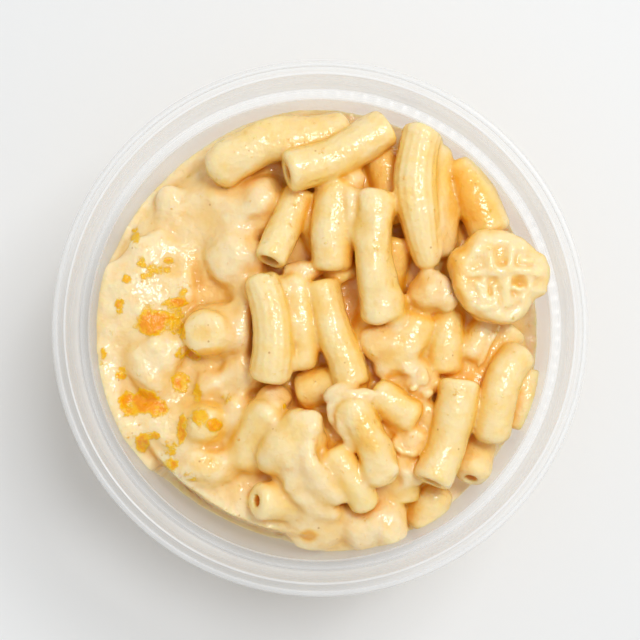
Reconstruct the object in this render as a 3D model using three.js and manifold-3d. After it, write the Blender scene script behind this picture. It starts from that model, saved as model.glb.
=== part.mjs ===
// A round open takeaway tub filled with macaroni and cheese.
//
// Millimetres, +Z up. The origin is the centre of the tub's base, on the surface that the tub stands on.
// The tub is one thin moulded shell of revolution. A pool of thick cheese sauce fills it, high and lumpy on
// the -X side and lower under the heap. The macaroni heap is one solid out to its uneven outline: short bent
// tubes and blobs of sauce that lean on each other over a core. One round wheel of pasta lies on the heap
// and on the tub's ledge.

import * as THREE from "three";
import { mergeVertices } from "three/addons/utils/BufferGeometryUtils.js";
import Module from "manifold-3d";

const wasm = await Module();
wasm.setup();

// ---- Driving dimensions -------------------------------------------------------------------------------

// Tub
const RIM_RADIUS = 58.5; // outside of the rolled rim: a 117 mm lid size
const TUB_HEIGHT = 73;
const WALL = 0.8;
const BASE_RADIUS = 46; // outside of the wall where it meets the base
const FOOT_WIDTH = 3; // flat ring that the tub stands on
const BASE_LIFT = 0.9; // the base panel is held up inside the foot ring
const SKIRT_DEPTH = 5.2; // rolled rim's outer skirt
const LIP_WIDTH = 2.3; // flat top of the rim, from its outer edge to the mouth
const LEDGE_HEIGHT = 63.6; // top of the ledge on which a lid's plug stops
const LEDGE_INNER = 50.9; // inside edge of the ledge, where the tapered wall begins
const LEDGE_OUTER = 53.2; // foot of the collar that rises from the ledge to the rim
const TUB_SEGMENTS = 56;

// Filling
const CLEARANCE = 0.3; // gap between neighbouring solids
const SAUCE_CLEARANCE = 0.45; // gap round the sauce, whose facets differ from the tub's
const SAUCE_HIGH = 54; // level of the sauce pool on the -X side
const SAUCE_LOW = 46; // and under the heap, on the +X side
const SAUCE_RINGS = [7, 13, 18, 22.5, 26.5, 30, 33.5, 37, 40.5, 43.5];
const SAUCE_SEGMENTS = 60;
const EDGE_WIDTH = 7; // width of the band in which the pool slopes to its level at the wall
const POOL_STEP = [-14, 10]; // the pool falls from its high level to its low one between these x
const SWELLING_FLAT = 0.25; // flat top of a swelling, as a share of its radius
const SWELLING_FOOT = 1.2; // and where its slope ends
const TUBE_SIDES = 8;
const ROUND_SIDES = 28; // of the core and the wheel
const CORE = { x: 14, y: 3, radius: 36, bottom: 40, top: 54.5 };
const WHEEL = { x: 40.1, y: 12.6, z: 62.8, radius: 10.3, half: 4, tilt: 7, spoke: 1.1 };
const CRUMB = 0.02; // edges shorter than this are merged after the heap is cut

// Level of the sauce at the wall: [azimuth in degrees from +X, height].
const WALL_LEVELS = [
  [0, 46], [60, 50], [92, 53], [115, 51], [128, 44.5], [155, 47.5], [178, 54.5], [205, 55.5], [217, 51],
  [226, 40], [243, 36], [258, 37], [266, 43], [273, 50], [281, 52], [292, 47], [315, 43], [360, 46],
];

// Rounded swellings of the pool, where pasta lies just under the sauce: x, y, radius, height over the pool.
const SWELLINGS = [
  [-19.5, 17, 9, 6], [-13, 29, 6, 5.5], [-21, 29, 8, 3.5], [-37.5, -8, 8.5, 6], [-34, 2, 6, 2],
  [-22, -25, 8, 6], [-23, -16, 5.5, 3.5], [-11, -16, 6, 8], [-13, -24, 8, 5], [-33, 24, 6, 1.5],
  [-27, -30, 7, 2.5], [0, -46, 5, 3],
];

// Macaroni of the heap: width, then the points that the middle of the tube runs through.
const MACARONI = [
  { width: 9.5, line: [[-25, 35, 55.5], [-18, 39.6, 57], [-9, 43, 57], [3, 44, 56]] },
  { width: 9, line: [[-6.5, 36, 61], [3, 38.5, 62], [14.3, 44.5, 59.5]] },
  { width: 7.4, line: [[-5, 31, 58], [-11.5, 16.5, 57.5]] },
  { width: 8.8, line: [[-13.7, 12, 60], [-10.8, 2, 61.5], [-11.3, -11, 60]] },
  { width: 8.6, line: [[-26.4, -0.6, 61.5], [-24, -0.5, 58], [-20.5, -0.3, 53]] },
  { width: 8.6, line: [[-14, -37, 55], [-4, -37.5, 55.5]] },
  { width: 7.6, line: [[3, -26, 60.5], [10.5, -38, 58]] },
  { width: 7.8, line: [[5.5, -15, 61.5], [10.5, -22, 62.3], [13.6, -33, 60]] },
  { width: 7.4, line: [[11.5, -12, 59.5], [19.5, -19, 58.5]] },
  { width: 8, line: [[0.3, 10.5, 57.5], [4, -2, 58.5], [7, -12, 58]] },
  { width: 9, line: [[3.8, 34, 59], [2.5, 14, 59.5]] },
  { width: 8.5, line: [[12.8, 31, 62], [12, 18, 63], [14.5, 3, 61]] },
  { width: 9.2, line: [[22.8, 44, 60.5], [21.3, 32, 62.3], [24, 15.5, 61]] },
  { width: 8, line: [[28, 37, 55], [29.5, 18, 56]] },
  { width: 9.6, line: [[32.5, 35.5, 53], [39, 24, 55]] },
  { width: 8, line: [[28.3, 3, 55], [28, -9, 54.5]] },
  { width: 7.2, line: [[37.5, 0, 53], [33, -8, 52]] },
  { width: 8, line: [[44.5, -4.5, 56.5], [40, -13, 58], [38.4, -24, 56.5]] },
  { width: 7, line: [[45, -10, 50], [44, -22, 49.5]] },
  { width: 9, line: [[30.7, -11.5, 59], [29, -22, 60], [24.3, -33.5, 56.5]] },
  { width: 9, line: [[36, -23, 50], [33.2, -33, 49.5]] },
  { width: 8.6, line: [[25.5, -35, 48], [22.8, -42.5, 46]] },
  { width: 8, line: [[20, 0, 56.5], [13, -8, 57]] },
  { width: 7, line: [[-6, 12, 57.5], [-5, -9, 57.5]] },
  { width: 8.5, line: [[13, 39, 53.5], [18, 24, 54.5]] },
  { width: 8.5, line: [[-3, 28, 54], [6, 12, 54.5]] },
  { width: 8.5, line: [[16, 20, 56], [13, 8, 55], [10, -3, 54]] },
  { width: 8.5, line: [[33, 14, 55.5], [23, -4, 54]] },
  { width: 8.5, line: [[-5, -14, 54.5], [10, -15, 55]] },
  { width: 8.5, line: [[17, -18, 54], [18, -38, 51]] },
  { width: 8.5, line: [[32, 3, 55.5], [41, 12, 57]] },
];

// Blobs of sauce on and between the tubes: x, y, z and the three half sizes.
const BLOBS = [
  [24.3, 8, 58.5, 5.6, 5.4, 4.6],
  [22, -13, 57.5, 4.6, 4.6, 4],
  [19.5, -25.5, 56.5, 4.2, 6.5, 4],
  [13.5, -42, 49, 6.6, 5.4, 5],
  [-4, -29, 57, 9, 7.5, 5.2],
  [2, -44, 50, 10, 4.6, 4.6],
  [6, 34.5, 57, 4, 4, 4.5],
];

// ---- Helpers ------------------------------------------------------------------------------------------

const radians = THREE.MathUtils.degToRad;

// Closed three.js geometry to a solid, and back.
function solidOf(geometry) {
  const plain = geometry.clone();
  plain.deleteAttribute("normal");
  plain.deleteAttribute("uv");
  const merged = mergeVertices(plain, 1e-4);
  const mesh = new wasm.Mesh({
    numProp: 3,
    vertProperties: merged.attributes.position.array,
    triVerts: new Uint32Array(merged.index.array),
  });
  return new wasm.Manifold(mesh);
}

function geometryOf(solid) {
  const mesh = solid.getMesh();
  const geometry = new THREE.BufferGeometry();
  geometry.setAttribute("position", new THREE.BufferAttribute(mesh.vertProperties, 3));
  geometry.setIndex(new THREE.BufferAttribute(mesh.triVerts, 1));
  return geometry.toNonIndexed();
}

function named(name, geometry, color, roughness) {
  geometry.computeVertexNormals();
  const mesh = new THREE.Mesh(geometry, new THREE.MeshStandardMaterial({ color, roughness, metalness: 0 }));
  mesh.name = name;
  return mesh;
}

// Body of revolution about Z from a closed outline of [radius, height] that starts and ends on the axis.
function turned(outline, segments) {
  const points = outline.map(([r, z]) => new THREE.Vector2(r, z));
  return new THREE.LatheGeometry(points, segments).rotateX(Math.PI / 2);
}

// Value at x of a line through [position, value] stops, with smooth steps from stop to stop.
function along(stops, x) {
  const next = Math.max(1, stops.findIndex(([at]) => at >= x));
  const [x0, v0] = stops[next - 1];
  const [x1, v1] = stops[next];
  return THREE.MathUtils.lerp(v0, v1, THREE.MathUtils.smoothstep(x, x0, x1));
}

// ---- Tub ----------------------------------------------------------------------------------------------

const baseTop = BASE_LIFT + WALL;
const innerBase = BASE_RADIUS - WALL;
const wallTaper = (LEDGE_INNER - innerBase) / (LEDGE_HEIGHT - 1 - baseTop);

// Inner radius of the tapered wall at a height.
const wallRadius = (z) => innerBase + wallTaper * (z - baseTop);

// The mouth's outline from the base's inner corner up to the rim, moved inwards by inset.
function insideOutline(inset) {
  const mouth = RIM_RADIUS - LIP_WIDTH;
  return [
    [innerBase - 1.8 - inset, baseTop + inset],
    [innerBase - 0.5 - inset, baseTop + 0.5 + inset],
    [wallRadius(baseTop + 2) - inset, baseTop + 2 + inset],
    [wallRadius(LEDGE_HEIGHT - 1.1) - inset, LEDGE_HEIGHT - 1.1 + inset],
    [LEDGE_INNER - inset, LEDGE_HEIGHT + inset],
    [LEDGE_OUTER - 0.6 - inset, LEDGE_HEIGHT + 0.5 + inset],
    [LEDGE_OUTER + 0.4 - inset, LEDGE_HEIGHT + 1.6 + inset],
    [mouth - 0.4 - inset, TUB_HEIGHT - 1.6],
    [mouth - inset, TUB_HEIGHT - 0.5],
  ];
}

function tubGeometry() {
  const foot = BASE_RADIUS - 2.2;
  const collar = LEDGE_OUTER + 0.4 + WALL;
  const mouth = RIM_RADIUS - LIP_WIDTH;
  const outside = [
    [0, BASE_LIFT],
    [foot - FOOT_WIDTH - 0.8, BASE_LIFT],
    [foot - FOOT_WIDTH, 0],
    [foot, 0],
    [BASE_RADIUS - 0.6, 0.9],
    [BASE_RADIUS + 0.1, 2.6],
    [wallRadius(LEDGE_HEIGHT - 1.6) + WALL, LEDGE_HEIGHT - 1.6],
    [LEDGE_INNER + WALL, LEDGE_HEIGHT - WALL],
    [collar - 0.3, LEDGE_HEIGHT - 0.3],
    [collar, LEDGE_HEIGHT + 1.5],
    [mouth - 0.4 + WALL, TUB_HEIGHT - 1.7],
    [RIM_RADIUS - WALL, TUB_HEIGHT - 1.1],
    [RIM_RADIUS - WALL, TUB_HEIGHT - SKIRT_DEPTH],
    [RIM_RADIUS, TUB_HEIGHT - SKIRT_DEPTH],
    [RIM_RADIUS, TUB_HEIGHT - 0.7],
    [RIM_RADIUS - 0.6, TUB_HEIGHT],
    [mouth + 0.5, TUB_HEIGHT],
  ];
  return turned([...outside, ...insideOutline(0).reverse(), [0, baseTop]], TUB_SEGMENTS);
}

// Space inside the tub that the filling may take, up to above the rim.
function cavity() {
  const outline = insideOutline(CLEARANCE);
  const [topRadius] = outline.at(-1);
  const top = TUB_HEIGHT + 17;
  return solidOf(turned([[0, baseTop + CLEARANCE], ...outline, [topRadius, top], [0, top]], TUB_SEGMENTS));
}

// ---- Cheese sauce -------------------------------------------------------------------------------------

function swellingHeight([centreX, centreY, radius, height], x, y) {
  const distance = Math.hypot(x - centreX, y - centreY);
  return height * (1 - THREE.MathUtils.smoothstep(distance, SWELLING_FLAT * radius, SWELLING_FOOT * radius));
}

// Height of the pool: high on the -X side, low under the heap, with swellings, and its own level at the wall.
function sauceTop(x, y) {
  const radius = Math.hypot(x, y);
  const azimuth = (THREE.MathUtils.radToDeg(Math.atan2(y, x)) + 360) % 360;
  const pool = THREE.MathUtils.lerp(SAUCE_HIGH, SAUCE_LOW, THREE.MathUtils.smoothstep(x, ...POOL_STEP));
  const raised = pool + Math.max(0, ...SWELLINGS.map((swelling) => swellingHeight(swelling, x, y)));
  const edge = THREE.MathUtils.smoothstep(radius, wallRadius(raised) - EDGE_WIDTH, wallRadius(raised));
  return THREE.MathUtils.lerp(raised, along(WALL_LEVELS, azimuth), edge);
}

// The pool as one closed body: its top over rings and segments, its side down the wall, and its flat bottom.
// lift raises the whole top, and reach widens it with a level brim.
function sauceGeometry(lift, reach) {
  const positions = [];
  const faces = [];
  const bottom = baseTop + CLEARANCE;
  const ringOf = (place) => {
    const first = positions.length / 3;
    for (let j = 0; j < SAUCE_SEGMENTS; j++) positions.push(...place((2 * Math.PI * j) / SAUCE_SEGMENTS));
    return first;
  };
  const onTop = (radius) => (angle) => {
    const [x, y] = [radius * Math.cos(angle), radius * Math.sin(angle)];
    return [x, y, sauceTop(x, y) + lift];
  };
  const atWall = (outward) => (angle) => {
    const level = along(WALL_LEVELS, THREE.MathUtils.radToDeg(angle));
    const radius = wallRadius(level) - SAUCE_CLEARANCE + outward;
    return [radius * Math.cos(angle), radius * Math.sin(angle), level + lift];
  };
  const flat = (radius, z) => (angle) => [radius * Math.cos(angle), radius * Math.sin(angle), z];
  const centres = [[0, 0, sauceTop(0, 0) + lift], [0, 0, bottom]];
  const rings = [
    ...SAUCE_RINGS.map((radius) => ringOf(onTop(radius))),
    ringOf(atWall(0)),
    ...(reach > 0 ? [ringOf(atWall(reach))] : []),
    ringOf(flat(wallRadius(bottom + 2) - SAUCE_CLEARANCE + reach, bottom + 2)),
    ringOf(flat(innerBase - 2.2 + reach, bottom)),
  ];
  const [topCentre, bottomCentre] = centres.map((point) => {
    positions.push(...point);
    return positions.length / 3 - 1;
  });
  for (let j = 0; j < SAUCE_SEGMENTS; j++) {
    const k = (j + 1) % SAUCE_SEGMENTS;
    faces.push(topCentre, rings[0] + j, rings[0] + k);
    for (let i = 1; i < rings.length; i++) {
      const [inner, outer] = [rings[i - 1], rings[i]];
      faces.push(inner + j, outer + j, outer + k, inner + j, outer + k, inner + k);
    }
    faces.push(bottomCentre, rings.at(-1) + k, rings.at(-1) + j);
  }
  const geometry = new THREE.BufferGeometry();
  geometry.setAttribute("position", new THREE.Float32BufferAttribute(positions, 3));
  geometry.setIndex(faces);
  return geometry;
}

// ---- Pasta --------------------------------------------------------------------------------------------

// One macaroni without its bore: a round section drawn along a line through the points.
function macaroniGeometry({ width, line }) {
  const path = new THREE.CatmullRomCurve3(line.map((point) => new THREE.Vector3(...point)));
  const section = new THREE.Shape();
  for (let i = 0; i < TUBE_SIDES; i++) {
    const angle = (2 * Math.PI * (i + 0.5)) / TUBE_SIDES;
    const point = [(width / 2) * Math.cos(angle), (width / 2) * Math.sin(angle)];
    if (i === 0) section.moveTo(...point);
    else section.lineTo(...point);
  }
  const steps = 2 * (line.length - 1);
  return new THREE.ExtrudeGeometry(section, { steps, extrudePath: path, curveSegments: 1 });
}

function blobGeometry([x, y, z, ...half]) {
  return new THREE.IcosahedronGeometry(1, 1).scale(...half).translate(x, y, z);
}

// Mound under the heap that its pieces lie on.
function coreGeometry() {
  const { x, y, radius, bottom, top } = CORE;
  const outline = [
    [0, bottom],
    [radius, bottom],
    [radius, top - 7],
    [radius - 4, top - 2.5],
    [radius - 11, top],
    [0, top],
  ];
  return turned(outline, ROUND_SIDES).translate(x, y, 0);
}

// Wheel pasta under a skin of sauce: a rounded disc, grown by extra, with crossing spokes raised on its top.
function wheelSolid(extra) {
  const { x, y, z, radius, half, tilt, spoke } = WHEEL;
  const r = radius + extra;
  const h = half + extra;
  const disc = [
    [0, -h],
    [r - 3, -h],
    [r - 0.9, -0.55 * h],
    [r, 0.1 * h],
    [r - 1.2, 0.7 * h],
    [r - 3.4, h],
    [r - 4.6, h - 0.3],
    [0, h - 1],
  ];
  const bar = new THREE.CapsuleGeometry(spoke + extra, 2 * radius - 7, 2, 6).scale(1, 1, 0.8);
  const spokes = [5, 95].map((angle) => bar.clone().rotateZ(radians(angle)).translate(0, 0, half - 1));
  const parts = [turned(disc, ROUND_SIDES), ...spokes].map(solidOf);
  const whole = parts.reduce((sum, part) => sum.add(part));
  return whole.rotate([0, -tilt, 0]).translate([x, y, z]);
}

// The largest closed body of a solid: cutting a heap leaves crumbs, which are dropped.
function largest(solid) {
  return solid.decompose().reduce((best, body) => (body.volume() > best.volume() ? body : best));
}

function heapSolid(room) {
  const pieces = [coreGeometry(), ...MACARONI.map(macaroniGeometry), ...BLOBS.map(blobGeometry)];
  const whole = wasm.Manifold.union(pieces.map(solidOf));
  const cut = whole
    .intersect(room)
    .subtract(solidOf(sauceGeometry(1.5 * CLEARANCE, 1)))
    .subtract(wheelSolid(CLEARANCE));
  return largest(cut.simplify(CRUMB));
}

// ---- The part -----------------------------------------------------------------------------------------

const room = cavity();
const part = new THREE.Group();
part.add(named("tub", tubGeometry(), 0xe9e8e6, 0.35));
part.add(named("cheese_sauce", geometryOf(solidOf(sauceGeometry(0, 0)).intersect(room)), 0xfae1af, 0.35));
part.add(named("macaroni_heap", geometryOf(heapSolid(room)), 0xf6dca0, 0.4));
part.add(named("wheel_pasta", geometryOf(wheelSolid(0).intersect(room)), 0xf8dfa8, 0.4));

export default part;
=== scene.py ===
"""Looks of an open takeaway tub of macaroni and cheese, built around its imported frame.

Lengths inside the shape functions are millimetres, and each finished mesh is scaled to metres.
"""

import functools
import math
from typing import NamedTuple

import bpy
import numpy as np
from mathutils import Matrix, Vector


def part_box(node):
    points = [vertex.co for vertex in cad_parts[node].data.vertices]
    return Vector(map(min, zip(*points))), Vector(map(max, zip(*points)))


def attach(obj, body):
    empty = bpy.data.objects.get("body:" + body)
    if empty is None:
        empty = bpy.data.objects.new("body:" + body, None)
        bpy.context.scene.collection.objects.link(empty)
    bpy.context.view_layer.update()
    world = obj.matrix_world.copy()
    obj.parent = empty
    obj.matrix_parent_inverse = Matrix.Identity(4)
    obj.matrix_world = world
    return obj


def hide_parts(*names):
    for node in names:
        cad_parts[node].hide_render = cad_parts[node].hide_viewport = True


bl_info = {
    "name": "Macaroni and Cheese Tub",
    "version": (1, 0, 0),
    "blender": (4, 5, 0),
    "location": "View3D > Sidebar > Mac and Cheese",
    "description": "Makes a takeaway tub of macaroni and cheese around its CAD frame",
    "category": "Object",
}

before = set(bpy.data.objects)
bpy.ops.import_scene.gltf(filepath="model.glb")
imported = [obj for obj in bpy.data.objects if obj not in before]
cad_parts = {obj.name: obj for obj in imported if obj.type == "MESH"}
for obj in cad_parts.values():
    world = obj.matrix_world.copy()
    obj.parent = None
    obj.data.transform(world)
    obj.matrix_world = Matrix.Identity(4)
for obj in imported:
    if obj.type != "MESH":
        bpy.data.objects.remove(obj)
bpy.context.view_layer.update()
TUB_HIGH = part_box("tub")[1]
WHEEL_LOW, WHEEL_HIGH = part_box("wheel_pasta")
MM = 0.001
WALL = 0.8  # thickness of the tub's moulded shell


def linear(colour):
    """A hex sRGB colour as linear red, green and blue."""
    parts = [int(colour[i : i + 2], 16) / 255 for i in (1, 3, 5)]
    return tuple(v / 12.92 if v <= 0.04045 else ((v + 0.055) / 1.055) ** 2.4 for v in parts)


# ---- Settings ------------------------------------------------------------------------------------


def length(name, description, millimetres):
    return bpy.props.FloatProperty(
        name=name, description=description, default=millimetres * MM, min=0.0, unit="LENGTH", precision=5
    )


def colour(name, description, value):
    return bpy.props.FloatVectorProperty(
        name=name, description=description, default=linear(value), size=3, min=0.0, max=1.0, subtype="COLOR"
    )


class TubSettings(bpy.types.PropertyGroup):
    """Sizes and colour of the plastic tub."""

    rim_radius: length("Rim radius", "Outside of the rolled rim", TUB_HIGH.x / MM)
    height: length("Height", "From the foot ring to the top of the rim", TUB_HIGH.z / MM)
    wall: length("Wall", "Thickness of the moulded shell", WALL)
    rib_pitch: length("Rib pitch", "Spacing of the small ribs on the ledge", 3.06)
    tint: colour("Plastic", "Colour of the plastic", "#F8FAFB")
    opacity: bpy.props.FloatProperty(
        name="Opacity", description="Share of light that one surface stops", default=0.24, min=0, max=1,
        subtype="FACTOR",
    )


class SauceSettings(bpy.types.PropertyGroup):
    """Fineness and colours of the cheese sauce."""

    cell: length("Cell", "Spacing of the samples of the sauce's surface", 0.45)
    film: length("Film", "Thickness of the sauce on a coated piece", 0.35)
    cream: colour("Sauce", "Colour of the thick sauce", "#FEE2B6")
    # Painted shade: the shaded and hollow colours darken the thick sauce on its slopes and in its hollows,
    # where less light falls; the shaded one is also laid in random patches as the sauce's own darker tone.
    shaded: colour("Shaded sauce", "Colour of the thick sauce on its slopes", "#F6CD7E")
    hollow_shade: colour("Hollow sauce", "Colour of the thick sauce in its hollows", "#EBB04A")
    # Painted shade: the golden, low and deep colours darken the pasta's thin film on its sides, low in the
    # gaps and in the deepest gaps between pieces, where less light reaches; the golden one is also the
    # pasta's own darker tone, laid in random patches.
    golden_and_side_shade: colour("Golden film", "Colour of a thin film of sauce on the sides of the pasta", "#F9CE70")
    low_gap_shade: colour("Oily film", "Colour of a thin film of sauce low down between the pasta", "#F3B636")
    deep_gap_shade: colour("Deep film", "Colour of a thin film of sauce in the deepest gaps", "#F2A212")
    pepper: colour("Pepper", "Colour of the specks of ground pepper", "#B57A22")
    browned: colour("Browned cheese", "Colour of the baked spots", "#FFC60C")
    browned_deep: colour("Deep browned cheese", "Colour of the darkest baked spots", "#F7A200")


class PastaSettings(bpy.types.PropertyGroup):
    """Sizes and colours of the macaroni."""

    bore: length("Bore radius", "Radius of the hole through a macaroni", 1.7)
    ridge_pitch: length("Ridge pitch", "Spacing of the ridges round a macaroni", 1.9)
    pale: colour("Pasta", "Colour of boiled pasta under a thin film of sauce", "#FDE0A9")


class StageSettings(bpy.types.PropertyGroup):
    """Camera, floor and lights."""

    camera_distance: length("Camera distance", "From the camera to the middle of the rim", 550)
    camera_tilt: bpy.props.FloatProperty(
        name="Camera tilt", description="Lean of the view from straight down", default=math.radians(2.5),
        unit="ROTATION",
    )
    key_power: bpy.props.FloatProperty(
        name="Key light", description="Power of the key light", default=4.2, unit="POWER"
    )
    key_size: length("Key light size", "Width of the round key light", 260)
    sky: bpy.props.FloatProperty(
        name="Sky", description="Strength of the light from all round", default=0.6
    )
    floor: colour("Floor", "Colour of the surface that the tub stands on", "#EBEDEE")


class MacTubSettings(bpy.types.PropertyGroup):
    """Everything about the tub of macaroni and cheese that can be set."""

    tub: bpy.props.PointerProperty(type=TubSettings)
    sauce: bpy.props.PointerProperty(type=SauceSettings)
    pasta: bpy.props.PointerProperty(type=PastaSettings)
    stage: bpy.props.PointerProperty(type=StageSettings)


# ---- Camera and line of sight --------------------------------------------------------------------

RIM_MIDDLE = (0.0, 1.57, 73.0)  # what the camera looks at
POOL_LEVEL = 56.0  # places of the food are given as the camera sees them on this level
SENSOR = 36.0  # width of the camera's sensor
LENS = 142.1  # focal length
KEY_PLACE = (262, 236, 870)  # of the key light
KEY_TARGET = (0, 0, 40)  # what it points at
FLOOR_HALF = 4000  # half the width of the floor


def camera_place(stage):
    """Where the camera stands, and the direction it looks in."""
    tilt = stage.camera_tilt
    look = np.array([0.0, math.sin(tilt), -math.cos(tilt)])
    return np.array(RIM_MIDDLE) - look * stage.camera_distance / MM, look


def seen(camera, x, y, z):
    """The point at height z that the camera sees where it sees (x, y) on the pool's level."""
    on_level = np.array([x, y, POOL_LEVEL])
    return camera + (on_level - camera) * (z - camera[2]) / (POOL_LEVEL - camera[2])


# ---- The food's layout ---------------------------------------------------------------------------


class Tube(NamedTuple):
    """One macaroni: the line through its middle as (x, y, z), its width, and how it is finished."""

    line: tuple
    width: float
    film: float = 0.3  # share of the full film of sauce on it
    ridge: float = 0.0  # depth of its ridges
    bores: tuple = (0.0, 0.0)  # radius of the open bore at each end, 0 where sauce closes it
    ends: tuple = (1.0, 1.0)  # width at each end as a share of the middle's
    soft: float = 0.9  # reach of the fillet that joins it to its neighbours
    edge: float = 1.3  # rounding of its ends


MACARONI = (
    # On top and along the back wall.
    Tube(((-24.4, 34.6, 56), (-18.6, 39.3, 57.4), (-10.5, 42.6, 57.4), (6.5, 44.6, 55.5)), 9.5, 1.0,
         edge=3.2),
    Tube(((-7.4, 35.6, 63.6), (1.1, 37.9, 61.6), (7.5, 41.2, 61), (15.2, 46, 59.5)), 9.2, 0.35, 0.04,
         (1.9, 0)),
    Tube(((-4.2, 31.4, 56.5), (-8.0, 22.8, 58.6), (-11.4, 15.6, 61.4)), 7.3, 0.35, 0.03, (0, 2.0)),
    # Left of the middle.
    Tube(((-13.5, 12.3, 59.5), (-11.0, 4, 61), (-10.5, -4, 61), (-11.4, -11.4, 59.5)), 8.8, 0.35, 0.08,
         ends=(0.84, 1.06), soft=2.0, edge=1.8),
    Tube(((-5.6, 12.5, 58), (-4.4, 2, 58.8), (-4.0, -8.8, 58)), 7.0, 0.8, soft=1.8, edge=2.0),
    Tube(((-26.2, -0.7, 60.4), (-25.2, -0.6, 56.4), (-23.8, -0.4, 52)), 9.6, 0.8, soft=2.4, edge=2.2),
    # Front, from the left.
    Tube(((-14.2, -38.2, 58.8), (-10, -38, 56.4), (-5, -38, 54)), 8.0, 0.6, bores=(1.3, 0), soft=1.6,
         edge=1.6),
    Tube(((2.5, -26.6, 60.8), (5.8, -31.4, 60.8), (9.0, -36, 59.6), (10.6, -39.4, 58)), 6.8, 0.6, edge=2.0),
    Tube(((6.9, -15.8, 61.6), (9.5, -21.5, 62.6), (12.3, -27, 62.2), (14.0, -34, 60)), 7.9, 0.9,
         ends=(1.06, 0.82), edge=2.6),
    Tube(((11.6, -13.6, 60), (16, -16.6, 60), (21.3, -20.4, 58.8)), 8.2, 0.5, edge=2.6),
    # Middle.
    Tube(((0.2, 11, 58), (2.5, 1, 59), (5.5, -6, 59), (7.2, -12.5, 58.6)), 8.2, 0.35, 0.05),
    Tube(((3.8, 34, 59), (3.1, 24, 60), (2.6, 13.4, 59.4)), 9.2, 0.6, ends=(0.95, 1.0), soft=1.2, edge=2.0),
    Tube(((12.6, 31.6, 62), (12.0, 22.6, 63), (12.3, 13, 63), (13.6, 2.4, 61)), 8.3, 1.0, ends=(1.12, 1.2),
         soft=1.8, edge=2.0),
    Tube(((22.6, 3.0, 57.6), (19.0, -2.8, 58.4), (14.8, -9.4, 57.4)), 8.6, 0.9, ends=(1.1, 0.6), soft=1.8,
         edge=2.4),
    # Right of the middle.
    Tube(((23.3, 45.8, 60), (21.4, 34.2, 62), (22.6, 24, 62.2), (24.5, 14, 60.8)), 9.4, 0.35, 0.1,
         ends=(0.92, 0.5), edge=1.5),
    Tube(((25.1, 41, 57), (27.3, 29, 58), (26.3, 16.5, 58)), 8.0, 0.9, soft=2.0, edge=2.0),
    Tube(((31.2, 38.0, 56.2), (35.0, 30.0, 57.4), (38.8, 21.4, 57.6)), 9.8, 0.35, edge=2.0),
    Tube(((28.2, 4.5, 55.8), (28.1, -2, 57), (27.8, -9.6, 56.4)), 8.0, 0.35, edge=2.0),
    Tube(((38.2, 3.6, 54.5), (36.3, -0.4, 55.4), (33.2, -6.6, 56)), 6.4, 0.6, soft=1.4, edge=2.0),
    Tube(((45.5, -4.6, 56), (41.6, -10, 57.8), (39.4, -17, 58), (38.6, -24.8, 56.5)), 8.3, 0.5,
         ends=(0.92, 1.0), edge=2.2),
    Tube(((46.6, -9, 52), (45.8, -16, 52.4), (44.4, -22, 51.6)), 7.6, 0.4),
    # Front right.
    Tube(((31.4, -11.4, 59.2), (30.3, -18.4, 59.4), (28.3, -26, 58.8), (25.0, -34.0, 60.2)), 8.7, 0.35,
         bores=(0, 2.1), ends=(1.06, 1.0), edge=0.9),
    Tube(((36.4, -23.6, 49.5), (34.9, -28.8, 51.5), (33.7, -33.2, 54)), 8.2, 0.5, bores=(0, 1.3), edge=2.0),
    Tube(((25.9, -34.8, 49), (24.3, -39.5, 48.5), (22.9, -44.1, 47)), 9.0, 0.4, edge=2.2),
    # Lower layer, seen in the gaps.
    Tube(((13, 40, 55), (15.5, 33, 55.5), (18, 24, 56)), 8.6),
    Tube(((-3, 29, 54.5), (1, 20, 55), (6, 11, 55)), 8.6),
    Tube(((17, 21, 57), (14, 8, 55.5), (10, -3, 55)), 8.5),
    Tube(((33, 15, 56), (28, 5, 54.5), (22, -5, 54.5)), 8.5),
    Tube(((-5, -14, 54.5), (3, -12, 55.5), (10, -14, 55.5)), 8.2),
    Tube(((17, -18, 55), (18.5, -28, 54.5), (18, -38, 52)), 8.5, soft=2.0),
    Tube(((34, 5, 56), (38, 8, 56.5), (42, 13, 57)), 8.0),
    Tube(((34, -18, 54), (35, -10, 52.5), (43, 1, 52.5)), 8.5),
    Tube(((-2, -22, 55), (6, -24, 55.5), (14, -22, 55)), 8.2, soft=2.0),
)

# Macaroni sunk in the sauce, of which only the swellings show.
SUNK = (
    Tube(((-10.2, -16.2, 59.2), (-13.4, -22, 56.4), (-18.2, -30, 52.6)), 8.8, 1.0, ends=(0.84, 1.1),
         soft=2.2, edge=3.0),
    Tube(((-25.8, -17.0, 53.0), (-25.2, -21.2, 55.4), (-24.2, -24.6, 56.4)), 8.8, 1.0, soft=2.2, edge=4.2),
    Tube(((-29.4, -28.6, 52.6), (-25, -30, 53.4), (-19.8, -29.6, 52.8)), 7.6, 1.0, soft=2.6, edge=3.2),
    Tube(((-13.4, -30.6, 57.4), (-7.4, -26.2, 59.2), (-1.2, -20.6, 60)), 10.4, 1.0, ends=(0.5, 1.05),
         soft=1.2, edge=2.4),
    Tube(((-5.4, -28, 58.0), (-1, -32, 58.4), (3.0, -37.5, 56.5)), 9.4, 1.0, soft=2.6, edge=3.8),
)


class Blob(NamedTuple):
    """A rounded swelling of the sauce: its middle, half sizes, turn about Z and softness of its foot."""

    place: tuple
    half: tuple
    turn: float = 0.0
    soft: float = 3.0


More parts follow.
